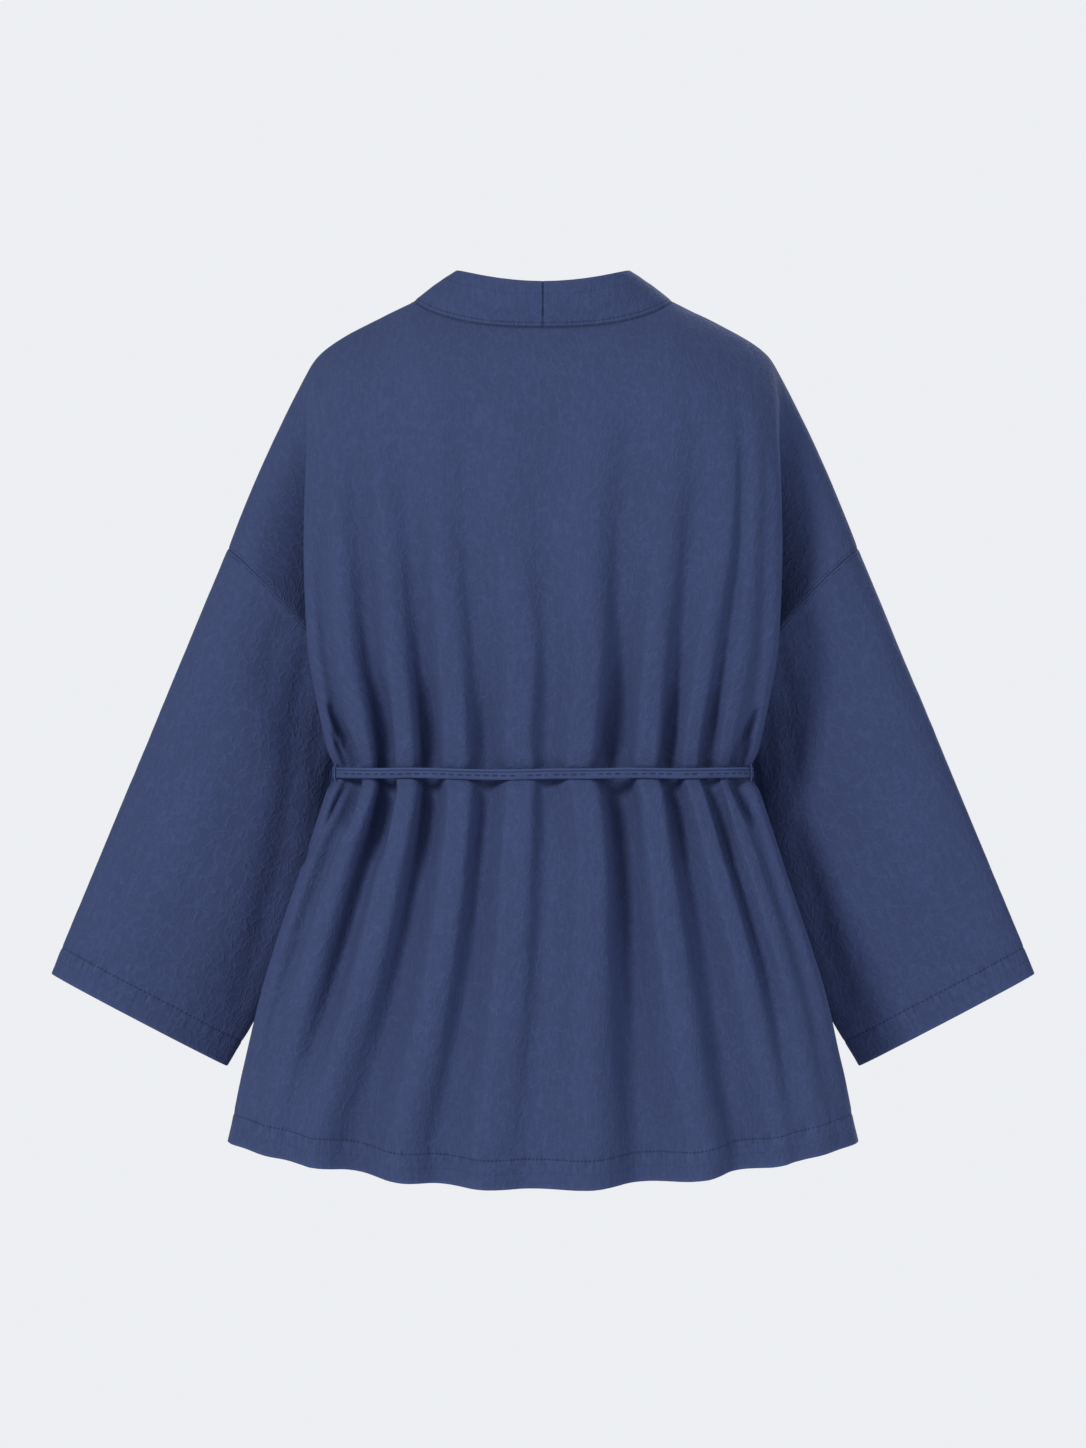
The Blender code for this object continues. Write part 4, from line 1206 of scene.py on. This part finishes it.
def make_sleeve(name, side, phase):
    look = settings().folds
    angles = np.linspace(0.0, math.tau, SLEEVE_TURNS + 1)[:-1]
    points = sleeve_point(angles[None], sleeve_rows())
    normals = normals_of(points, around=True)
    down = lengths_along(points, 0)
    girth = np.linalg.norm(np.roll(points, -1, axis=1) - points, axis=-1).sum(axis=1)
    from_cuff = down[-1] - down
    length = down[-1].mean()
    creases = np.array(SLEEVE_CREASES) * (girth[0], length, girth[0], length, 1.0, 1.0)
    place = np.broadcast_to(angles[None] / math.tau * girth[0], down.shape)
    wavy = handled(points[..., 0], points[..., 2] + points[..., 1], phase)
    shift = (look.creases * creased(place, down, creases) + look.handling * wavy) * calm_at(down)
    shift = shift + hemmed(from_cuff, place, look.hem, phase) + sewn_edges(down)
    points = points + normals * shift[..., None]
    points[..., 0] *= side
    if side < 0:
        points, place, from_cuff, down = [grid[:, ::-1] for grid in (points, place, from_cuff, down)]
    points = turned(points, SLEEVE_HEM_ROWS, look.turn)
    closed = [np.concatenate([grid, grid[:, :1]], axis=1) for grid in (place, from_cuff, down)]
    closed[0][:, -1] = girth[0] if side > 0 else -girth[0] / SLEEVE_TURNS
    place, from_cuff, down = [turned_values(grid, SLEEVE_HEM_ROWS) for grid in closed]
    maps = {"cloth": (place, from_cuff), "seam": (down, down)}
    sheet = {"flat": (0.40, 0.44), "area": 0.155}
    piece = cloth_piece(name + "_cloth", points, maps, look.wall, around=True, **sheet)
    dressed(piece, name, cloth_finish(cloth_name(name), look.hem, "x"))


# The neckband


def band_base(fold):
    return back_point(fold, np.full(np.shape(fold), NECK))


def band_top(base):
    rise = mix(BAND_CENTRE_TOP, BAND_SIDE_TOP, (base[..., 0] / NECK_HALF) ** 2)
    return vector(base[..., 0] * BAND_LEAN, base[..., 1] * BAND_FORWARD, rise)


def neck_part(shares):
    """The neckband's points behind the neck, from the centre back to the neck point."""
    base = band_base(np.linspace(CENTRE_FOLD, NECK_FOLD, NECK_STEPS + 1))
    return mix(base[None], band_top(base)[None], shares[:, None, None])


def front_part(rows, over, shares):
    """The same beside a front: it stands at the neck and lies flat on the chest."""
    rows = rows[:, 0]
    ones = np.ones(rows.shape)
    base = front_point(over, ones, rows)
    along = np.gradient(base, axis=0)
    laid = smoothstep(-base[..., 2] / BAND_LAID)
    neck = band_base(np.array([NECK_FOLD]))
    standing = unit(band_top(neck) - neck)
    flat = unit(vector(along[..., 2], 0.0, -along[..., 0]))
    way = unit(mix(standing, flat, laid[:, None]))
    points = base[None] + way[None] * BAND * shares[:, None, None]
    upright = base[None, :, 1] * mix(1.0, BAND_FORWARD, shares[:, None])
    lying = front_face(points[..., 0], points[..., 2], over)
    points[..., 1] = mix(upright, lying, laid[None])
    return points


def band_rows():
    """The fronts' rows, every one over the shoulder and every second one below it."""
    rows = row_heights(PANEL_ROWS)
    finer = PANEL_ROWS[0].steps
    return np.concatenate([rows[:finer], rows[finer::2]])


def make_band(name, side, over, phase):
    # The band starts a little below its seam, inside the panels, so that the seam stays shut.
    shares = spaced(BAND_STEPS, BAND_HIDDEN, 1.0)
    rows = band_rows()
    points = np.concatenate([neck_part(shares), front_part(rows, over, shares)[:, 1:]], axis=1)
    # The rows run up to the folded edge, so the columns run the other way.
    points[..., 0] *= side
    if side < 0:
        points = points[:, ::-1]
    along = lengths_along(points, 1)
    along = along if side > 0 else along[:, -1:] - along
    from_fold = (1.0 - shares[:, None]) * BAND + 0.0 * along
    normals = normals_of(points)
    seam_groove = -BAND_GROOVE * np.exp(-(((BAND - from_fold) / SEAM_DIP_WIDTH) ** 2))
    swell = np.sin(math.pi * shares[:, None])
    soft = (BAND_PUCKER * ripple(along, BAND_PUCKER_PERIOD, phase) + BAND_SWELL) * swell
    beside = front_point(over, np.ones(rows[1:, 0].shape), rows[1:, 0])
    laid = np.concatenate([np.zeros(NECK_STEPS + 1), smoothstep(-beside[..., 2] / BAND_LAID)])
    laid = laid if side > 0 else laid[::-1]
    tucked = mix(BAND_RISES, BAND_SINKS, laid) * (shares[:, None] < 0)
    shift = seam_groove * mix(0.5, 1.0, laid) + soft + tucked
    shows = smoothstep((BAND - from_fold - CENTRE_SEAM_FROM) / CENTRE_SEAM_OVER)
    shift = shift - CENTRE_SEAM * np.exp(-((along / CENTRE_SEAM_WIDTH) ** 2)) * shows
    points = turned(points + normals * shift[..., None], BAND_STEPS, BAND_GAP)
    along, from_fold = turned_values(along, BAND_STEPS), turned_values(from_fold, BAND_STEPS)
    maps = {"cloth": (along, from_fold), "seam": (BAND - from_fold, along)}
    piece = cloth_piece(name + "_cloth", points, maps, BAND_WALL, flat=(0.088, 0.97), held="folded")
    dressed(piece, name, band_finish(cloth_name(name)))


def band_finish(name):
    """The band's cloth runs along it, with stitching beside the seam and near the folded edge; its sunk
    stitches, seams and grooves are darkened as painted shade and its raised piping lightened as a painted
    highlight.
    """
    look = settings().cloth
    sewing = settings().sewing
    finish = Finish(name)
    along, from_fold = finish.map_parts("cloth")
    from_seam, from_centre = finish.map_parts("seam")
    threads, grain = weave(finish, along, from_fold, look.thread)
    mottle = finish.noise(along / 0.050, from_fold / 0.020, detail=3.0)
    veins = wrinkle_veins(finish, along, from_fold + 0.3, look.vein)
    depth = (threads - 0.5) * 0.18 + (grain - 0.5) * 0.20 + (mottle - 0.5) * 0.14 + (veins - 0.3) * 0.085
    height = (threads - 0.5) * 0.6 + (grain - 0.5) * 0.6 + veins * 2.4
    # Its stitches sink in and are darkened as painted shade in their pits.
    for away, dark in ((from_fold - BAND * 0.27, 0.12), (from_seam - sewing.inset, 0.20)):
        stitches = stitch_mask(finish, away, along, 0.0009, sewing.pitch)
        depth = depth - stitches * dark
        height = height - stitches * dark * 10.0
    # The neck seam, the centre seam and the groove under the piping are darkened as painted shade where
    # they sink in, and the piping is lightened as a painted highlight where it stands up.
    seam = finish.ramp(from_seam, 0.0015, 0.0004)
    shows = finish.ramp(from_seam, CENTRE_SEAM_FROM, CENTRE_SEAM_FROM + CENTRE_SEAM_OVER)
    centre = finish.ramp(from_centre, 0.0013, 0.0002) * shows
    beside = finish.ramp(abs(from_centre - 0.0018), 0.0008, 0.0002) * shows
    painted_piping_highlight = finish.ramp(abs(from_seam - 0.0022), 0.0009, 0.0002)
    under = finish.ramp(abs(from_seam - 0.0037), 0.0007, 0.0001)
    edge = finish.ramp(from_fold, 0.0022, 0.0004)
    depth = depth - seam * 0.30 - centre * 0.26 + beside * 0.07 + painted_piping_highlight * 0.12 - under * 0.16 + edge * 0.07
    height = height - seam * 1.2 - centre * 1.4 + painted_piping_highlight * 1.2 - under * 1.2
    finish_cloth(finish, shade(look.colour, 1.0), depth, height, look)
    return finish.material


# Belt, knot, tails and loops


def belt_ring():
    """The belt's closed line outside the cloth, turning from back to left to front."""
    quarter = np.linspace(0.0, math.pi / 2, BELT_STEPS + 1)
    place = np.sin(quarter)
    z = np.full(place.shape, BELT)
    back = vector(place * level(z).edge_x, back_hull(place, z), z)
    side = closed_side(z, quarter)[1:]
    side[:, 1] -= LAP / 2 * smoothstep((LAP_END - side[:, 0]) / (LAP_END - LAP_FULL))
    half = np.concatenate([back, side])
    mirrored = half[1:-1][::-1] * np.array((-1.0, 1.0, 1.0))
    line = np.concatenate([half, mirrored])
    along = np.roll(line, -1, axis=0) - np.roll(line, 1, axis=0)
    outward = unit(vector(-along[:, 1], along[:, 0], 0.0))
    return line + outward * belt_lift(), outward


def belt_lift():
    """From the pinched waist to the belt's outer face."""
    return PINCH * (1 - math.exp(-((BELT_HALF / PINCH_HEIGHT) ** 2))) + BELT_CLEAR + BELT_WALL


# The belt's drawn section, from its upper edge round the outer face to the inner one
Section = namedtuple("Section", "up out")
BELT_SECTION = (
    Section(1.00, -0.45), Section(0.96, -0.10), Section(0.80, 0.06), Section(0.64, 0.00),
    Section(0.50, -0.24), Section(0.36, -0.02), Section(0.20, 0.06), Section(0.02, 0.02),
    Section(-0.16, -0.01), Section(-0.34, 0.03), Section(-0.56, 0.08), Section(-0.78, 0.04),
    Section(-0.96, -0.12), Section(-1.00, -0.45), Section(-0.92, -0.90), Section(-0.50, -1.00),
    Section(0.00, -1.00), Section(0.50, -1.00), Section(0.92, -0.90),
)


def belt_tube(line, outward, upward):
    """The belt's strip along a line, as a grid whose rows run round its section."""
    rows = []
    for section in BELT_SECTION:
        up = upward * (section.up * BELT_HALF)
        rows.append(line + up + outward * (section.out * BELT_WALL * 0.9))
    rows.append(rows[0])
    return np.stack(rows)


def belt_finish(name):
    look = settings().cloth
    sewing = settings().sewing
    finish = Finish(name)
    along, up = finish.map_parts("cloth")
    threads = finish.noise(along / (look.thread * 14.0), up / look.thread, detail=3.0)
    grain = finish.noise(along / look.thread, up / look.thread, detail=2.0)
    mottle = finish.noise(along / 0.030, up / 0.008, detail=2.0)
    depth = (threads - 0.5) * 0.24 + (grain - 0.5) * 0.24 + (mottle - 0.5) * 0.22
    height = (threads - 0.5) * 0.9 + (grain - 0.5) * 0.8
    # Its stitching wanders and breaks; the stitches sink in and are darkened as painted shade in their
    # pits.
    wander = (finish.noise(along / 0.060, 0.5, detail=1.0) - 0.5) * 0.0020
    broken = finish.ramp(finish.noise(along / 0.012, 0.9, detail=1.0), 0.34, 0.52)
    lower = up + BELT_HALF * 0.16 + wander
    stitches = stitch_mask(finish, lower, along, 0.0009, sewing.pitch * 2.2) * broken
    # The groove is darkened as painted shade, and the belt's upper part is lightened as a painted highlight
    # along its top.
    groove = finish.ramp(abs(up - BELT_HALF * 0.50), 0.0007, 0.0001)
    upper = finish.ramp(up, BELT_HALF * 0.62, BELT_HALF * 0.80)
    depth = depth - stitches * 0.60 - groove * 0.26 + upper * 0.16
    height = height - stitches * 4.0 - groove * 1.6
    finish_cloth(finish, shade(look.colour, 1.08), depth, height, look)
    return finish.material


def strip_piece(name, points, closed):
    along = lengths_along(np.concatenate([points, points[:, :1]], axis=1) if closed else points, 1)
    ups = np.array([section.up for section in BELT_SECTION] + [BELT_SECTION[0].up]) * BELT_HALF
    piece = cloth_piece(name, points, {"cloth": (along, ups[:, None])}, 0.0, around=closed)
    merge_seam(piece.data, ends=True)
    piece.data.set_sharp_from_angle(angle=math.radians(60))
    return piece


def make_belt():
    line, outward = belt_ring()
    sag = settings().belt.sag
    dip = np.exp(-(((line[:, 0] - BELT_DIPS_AT) / BELT_DIPS_OVER) ** 2))
    line[:, 2] -= sag * dip * (line[:, 1] > 0)
    line[:, 2] += 0.35 * sag * ripple(line[:, 0], 0.090, 0.9) * (line[:, 1] > 0)
    points = belt_tube(line, outward, np.array((0.0, 0.0, 1.0)))[:, ::-1]
    piece = strip_piece("belt_strip", points, True)
    dressed(piece, "belt", belt_finish("belt cloth"))


def knot_centre():
    line, _ = belt_ring()
    return Vector((0.0, line[:, 1].min() - KNOT_CLEAR - KNOT.y / 2, BELT))


def make_knot():
    """A flat square knot: a swollen block whose band crosses it on the slant."""
    centre = knot_centre()
    shape = bmesh.new()
    bmesh.ops.create_cube(shape, size=1.0)
    bmesh.ops.subdivide_edges(shape, edges=shape.edges, cuts=15, use_grid_fill=True)
    for vertex in shape.verts:
        place = vertex.co * 2
        full = sum(abs(part) ** 4 for part in place) ** 0.25
        ball = place / max(full, 0.001)
        tuck = 1.0
        for groove in KNOT_GROOVES:
            away = (ball.x * groove.x + ball.z * groove.z - groove.at) / groove.width
            tuck -= groove.depth * math.exp(-(away**2))
        vertex.co = Vector((ball.x * KNOT.x, ball.y * KNOT.y * tuck, ball.z * KNOT.z * tuck)) / 2
        vertex.co += centre
    mesh = bpy.data.meshes.new("belt_knot_wrap")
    bmesh.ops.recalc_face_normals(shape, faces=shape.faces)
    shape.to_mesh(mesh)
    shape.free()
    layer = mesh.uv_layers.new(name="cloth")
    for loop in mesh.loops:
        point = mesh.vertices[loop.vertex_index].co - centre
        layer.data[loop.index].uv = (point.x, point.z * 0.8)
    mesh.shade_smooth()
    piece = bpy.data.objects.new("belt_knot_wrap", mesh)
    bpy.context.scene.collection.objects.link(piece)
    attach(piece, "root")
    dressed(piece, "belt_knot", belt_finish("belt knot cloth"))


def make_tail(name, side):
    """One end of the belt, hanging from the knot down the wrapped front, with a slow turn."""
    top = BELT - KNOT.z / 2 - KNOT_CLEAR
    share = np.linspace(0.0, 1.0, 90)
    z = top - TAIL_LENGTH * share
    x = side * (TAIL_START_X + TAIL_SPREAD * share**TAIL_SPREAD_POWER)
    x = x + TAIL_SWAY * side * np.sin(share * 9.0)
    wave = TAIL_WAVE * np.sin(share * 7.0 + side)
    y = front_hull(x, z) - LAP / 2 - TAIL_CLEAR - TAIL_FREE - wave
    line = vector(x, y, z)
    down = unit(np.gradient(line, axis=0))
    outward = unit(vector(0.0, down[:, 2], -down[:, 1]))
    wide = unit(np.cross(down, outward))
    points = belt_tube(line, outward, wide)
    piece = strip_piece(name + "_strip", points, False)
    dressed(piece, name, belt_finish(cloth_name(name)))


def make_loop(name, side):
    """A thread chain on the side that holds the belt."""
    z = np.asarray(BELT)
    size = level(z)
    at = vector(LOOP_AT * size.edge_x, back_hull(np.asarray(LOOP_AT), z), BELT)
    beside = vector(LOOP_BESIDE * size.edge_x, back_hull(np.asarray(LOOP_BESIDE), z), BELT)
    along = unit(at - beside)
    outward = vector(-along[1], along[0], 0.0) * (1 if along[1] < 0 else -1)
    over = belt_lift() + LOOP_CLEAR
    shares = np.linspace(-1.0, 1.0, 33)
    lift = mix(over, LOOP_ENDS, smoothstep((np.abs(shares) - 0.62) / 0.38))
    line = at + outward * lift[:, None] + vector(0.0, 0.0, -shares * LOOP_RISE)
    down = unit(np.gradient(line, axis=0))
    radius = LOOP_RADIUS * (1.0 + 0.22 * np.sin(shares * 34.0))
    rings = []
    for angle in np.linspace(0.0, math.tau, 13):
        way = np.cross(down, along) * math.cos(angle) + along * math.sin(angle)
        rings.append(line + way * radius[:, None] * (1.0 + 0.8 * abs(math.sin(angle))))
    points = np.stack(rings)
    points[..., 0] *= side
    maps = {"cloth": (lengths_along(points, 1), lengths_along(points, 0))}
    piece = cloth_piece(name + "_thread", points, maps, 0.0)
    merge_seam(piece.data, ends=True)
    dressed(piece, name, belt_finish(cloth_name(name)))


# The stage


def plain_finish(name, colour, roughness):
    finish = Finish(name)
    finish.set(Base_Color=tuple(colour) + (1.0,), Roughness=roughness, Specular_IOR_Level=0.1)
    return finish.material


def make_floor():
    look = settings().stage
    shape = bmesh.new()
    bmesh.ops.create_circle(shape, cap_ends=True, segments=128, radius=look.floor_radius)
    mesh = bpy.data.meshes.new("floor")
    shape.to_mesh(mesh)
    shape.free()
    for vertex in mesh.vertices:
        vertex.co.z = look.floor_height
    floor = bpy.data.objects.new("floor", mesh)
    mesh.materials.append(plain_finish("floor", look.backdrop, 0.9))
    bpy.context.scene.collection.objects.link(floor)


def make_world():
    """A pale studio: the camera sees the backdrop's colour, and the cloth its soft light."""
    look = settings().stage
    world = bpy.data.worlds.new("studio")
    bpy.context.scene.world = world
    world.use_nodes = True
    tree = world.node_tree
    seen = tree.nodes["Background"]
    seen.inputs["Color"].default_value = tuple(look.backdrop) + (1.0,)
    light = tree.nodes.new("ShaderNodeBackground")
    light.inputs["Color"].default_value = tuple(look.ambient_colour) + (1.0,)
    light.inputs["Strength"].default_value = look.ambient
    rays = tree.nodes.new("ShaderNodeLightPath")
    choice = tree.nodes.new("ShaderNodeMixShader")
    tree.links.new(rays.outputs["Is Camera Ray"], choice.inputs[0])
    tree.links.new(light.outputs[0], choice.inputs[1])
    tree.links.new(seen.outputs[0], choice.inputs[2])
    tree.links.new(choice.outputs[0], tree.nodes["World Output"].inputs["Surface"])


# The lamps, which all look at the jacket's middle
Lamp = namedtuple("Lamp", "name place size power colour")
LAMPS = (
    Lamp("key light", (3.1, 4.2, 1.9), 1.7, 200.0, (1.0, 0.98, 0.95)),
    Lamp("side light", (-3.6, 3.3, 0.4), 1.8, 54.0, (0.92, 0.96, 1.0)),
    Lamp("front light", (-2.0, -4.0, 1.5), 2.4, 110.0, (1.0, 0.99, 0.97)),
)
LIT_PLACE = Vector((0.0, 0.0, -0.4))


def make_light(lamp):
    source = bpy.data.lights.new(lamp.name, "AREA")
    source.shape = "DISK"
    source.size = lamp.size
    source.energy = lamp.power
    source.color = lamp.colour
    light = bpy.data.objects.new(lamp.name, source)
    light.location = lamp.place
    light.rotation_euler = (LIT_PLACE - Vector(lamp.place)).to_track_quat("-Z", "Y").to_euler()
    bpy.context.scene.collection.objects.link(light)


def make_camera():
    """Stands behind the wearer, level, far off with a long lens, as the photograph was taken."""
    look = settings().stage
    camera = bpy.data.cameras.new("camera")
    camera.sensor_width = 36.0
    camera.lens = camera.sensor_width * look.distance / look.view_height
    stand = bpy.data.objects.new("camera", camera)
    stand.location = (0.0, look.distance + look.focus_depth, look.view_centre)
    stand.rotation_euler = (math.pi / 2, 0.0, math.pi)
    bpy.context.scene.collection.objects.link(stand)
    bpy.context.scene.camera = stand


# Sizes and colours that a user may change


class ClothSettings(bpy.types.PropertyGroup):
    """How the cotton looks."""

    colour: FloatVectorProperty(
        name="Colour", description="The cotton's blue", subtype="COLOR", size=3, min=0.0, max=1.0,
        default=(0.0385, 0.0560, 0.1400),
    )
    thread: FloatProperty(
        name="Thread", description="Width of a drawn thread", default=0.0011, unit="LENGTH", precision=5
    )
    vein: FloatProperty(
        name="Wrinkle size", description="Size of the curled wrinkles", default=0.0105, unit="LENGTH",
        precision=4,
    )
    relief: FloatProperty(
        name="Relief", description="Strength of the weave's relief", default=0.55, min=0.0, max=1.0
    )
    sheen: FloatProperty(name="Sheen", description="Soft sheen of the nap", default=0.10, min=0.0, max=1.0)


class FoldSettings(bpy.types.PropertyGroup):
    """How the cloth is turned, creased and handled."""

    wall: FloatProperty(
        name="Thickness", description="Thickness of the cloth", default=0.0009, unit="LENGTH", precision=5
    )
    turn: FloatProperty(
        name="Turned gap", description="Between a hem's two layers", default=0.0021, unit="LENGTH",
        precision=5,
    )
    hem: FloatProperty(
        name="Hem", description="From the edge to the hem's stitching", default=0.024, unit="LENGTH",
        precision=4,
    )
    depth: FloatProperty(
        name="Folds", description="Depth of the back's folds", default=1.0, min=0.0, max=2.0
    )
    creases: FloatProperty(
        name="Creases", description="Depth of the creases", default=1.0, min=0.0, max=3.0
    )
    handling: FloatProperty(
        name="Handling", description="Waviness of worn cloth", default=1.0, min=0.0, max=3.0
    )


class SewingSettings(bpy.types.PropertyGroup):
    """The machine stitching."""

    pitch: FloatProperty(
        name="Stitch", description="Length of a stitch", default=0.0034, unit="LENGTH", precision=5
    )
    inset: FloatProperty(
        name="Inset", description="From a seam to its stitching", default=0.0028, unit="LENGTH", precision=5
    )


class BeltSettings(bpy.types.PropertyGroup):
    """How the belt lies."""

    sag: FloatProperty(
        name="Sag", description="How far the belt dips at the back", default=0.0012, unit="LENGTH",
        precision=4,
    )


class StageSettings(bpy.types.PropertyGroup):
    """Floor, light and camera."""

    backdrop: FloatVectorProperty(
        name="Backdrop", description="Colour of the pale studio", subtype="COLOR", size=3, min=0.0, max=1.0,
        default=(0.847, 0.863, 0.888),
    )
    ambient_colour: FloatVectorProperty(
        name="Ambient colour", description="Colour of the light from all round", subtype="COLOR", size=3,
        min=0.0, max=1.0, default=(0.90, 0.94, 1.0),
    )
    ambient: FloatProperty(name="Ambient", description="Light from all round", default=0.38, min=0.0)
    floor_radius: FloatProperty(
        name="Floor radius", description="Half the floor's width", default=2.6, unit="LENGTH"
    )
    floor_height: FloatProperty(
        name="Floor height", description="Height of the floor", default=-1.35, unit="LENGTH"
    )
    distance: FloatProperty(
        name="Distance", description="From the camera to the jacket", default=7.0, unit="LENGTH"
    )
    focus_depth: FloatProperty(
        name="Focus depth", description="Where the picture's scale is true", default=0.05, unit="LENGTH"
    )
    view_height: FloatProperty(
        name="View height", description="Height that the picture takes in", default=1.2453, unit="LENGTH"
    )
    view_centre: FloatProperty(
        name="View centre", description="Height that the camera looks at", default=-0.366, unit="LENGTH"
    )


class JacketSettings(bpy.types.PropertyGroup):
    """All that a user may change."""

    cloth: PointerProperty(type=ClothSettings)
    folds: PointerProperty(type=FoldSettings)
    sewing: PointerProperty(type=SewingSettings)
    belt: PointerProperty(type=BeltSettings)
    stage: PointerProperty(type=StageSettings)


class JACKET_OT_back(bpy.types.Operator):
    """Sew the gathered back"""

    bl_idname = "jacket.back"
    bl_label = "Back"

    def execute(self, context):
        make_back()
        return {"FINISHED"}


class JACKET_OT_fronts(bpy.types.Operator):
    """Sew the two fronts, the left one over the right one"""

    bl_idname = "jacket.fronts"
    bl_label = "Fronts"

    def execute(self, context):
        make_front("front_left", 1, 1, 1.9)
        make_front("front_right", -1, -1, 3.2)
        return {"FINISHED"}


class JACKET_OT_sleeves(bpy.types.Operator):
    """Sew the two wide sleeves"""

    bl_idname = "jacket.sleeves"
    bl_label = "Sleeves"

    def execute(self, context):
        make_sleeve("sleeve_left", 1, 0.9)
        make_sleeve("sleeve_right", -1, 2.6)
        return {"FINISHED"}


class JACKET_OT_neckband(bpy.types.Operator):
    """Sew the two halves of the neckband"""

    bl_idname = "jacket.neckband"
    bl_label = "Neckband"

    def execute(self, context):
        make_band("collar_left", 1, 1, 0.5)
        make_band("collar_right", -1, -1, 1.7)
        return {"FINISHED"}


class JACKET_OT_belt(bpy.types.Operator):
    """Tie the belt, with its knot, tails and loops"""

    bl_idname = "jacket.belt"
    bl_label = "Belt"

    def execute(self, context):
        make_belt()
        make_knot()
        make_tail("belt_tail_left", 1)
        make_tail("belt_tail_right", -1)
        make_loop("belt_loop_left", 1)
        make_loop("belt_loop_right", -1)
        return {"FINISHED"}


class JACKET_OT_stage(bpy.types.Operator):
    """Set up the floor, the light and the camera"""

    bl_idname = "jacket.stage"
    bl_label = "Stage"

    def execute(self, context):
        context.scene.view_settings.view_transform = "Standard"
        make_floor()
        make_world()
        for lamp in LAMPS:
            make_light(lamp)
        make_camera()
        return {"FINISHED"}


class JACKET_PT_panel(bpy.types.Panel):
    """The jacket's settings and steps"""

    bl_idname = "JACKET_PT_panel"
    bl_label = "Kimono jacket"
    bl_space_type = "VIEW_3D"
    bl_region_type = "UI"
    bl_category = "Jacket"

    def draw(self, context):
        layout = self.layout
        jacket = context.scene.jacket
        for title, group in (
            ("Cloth", jacket.cloth), ("Folds", jacket.folds), ("Sewing", jacket.sewing),
            ("Belt", jacket.belt), ("Stage", jacket.stage),
        ):
            box = layout.box()
            box.label(text=title)
            for label in group.__annotations__:
                box.prop(group, label)
        for operator in OPERATORS:
            layout.operator(operator.bl_idname)


OPERATORS = (
    JACKET_OT_back,
    JACKET_OT_fronts,
    JACKET_OT_sleeves,
    JACKET_OT_neckband,
    JACKET_OT_belt,
    JACKET_OT_stage,
)
GROUPS = (ClothSettings, FoldSettings, SewingSettings, BeltSettings, StageSettings, JacketSettings)
CLASSES = GROUPS + OPERATORS + (JACKET_PT_panel,)


def register():
    for kind in CLASSES:
        bpy.utils.register_class(kind)
    bpy.types.Scene.jacket = PointerProperty(type=JacketSettings)


def unregister():
    del bpy.types.Scene.jacket
    for kind in reversed(CLASSES):
        bpy.utils.unregister_class(kind)


def main():
    register()
    bpy.ops.jacket.back()
    bpy.ops.jacket.fronts()
    bpy.ops.jacket.sleeves()
    bpy.ops.jacket.neckband()
    bpy.ops.jacket.belt()
    bpy.ops.jacket.stage()


if __name__ == "__main__":
    main()
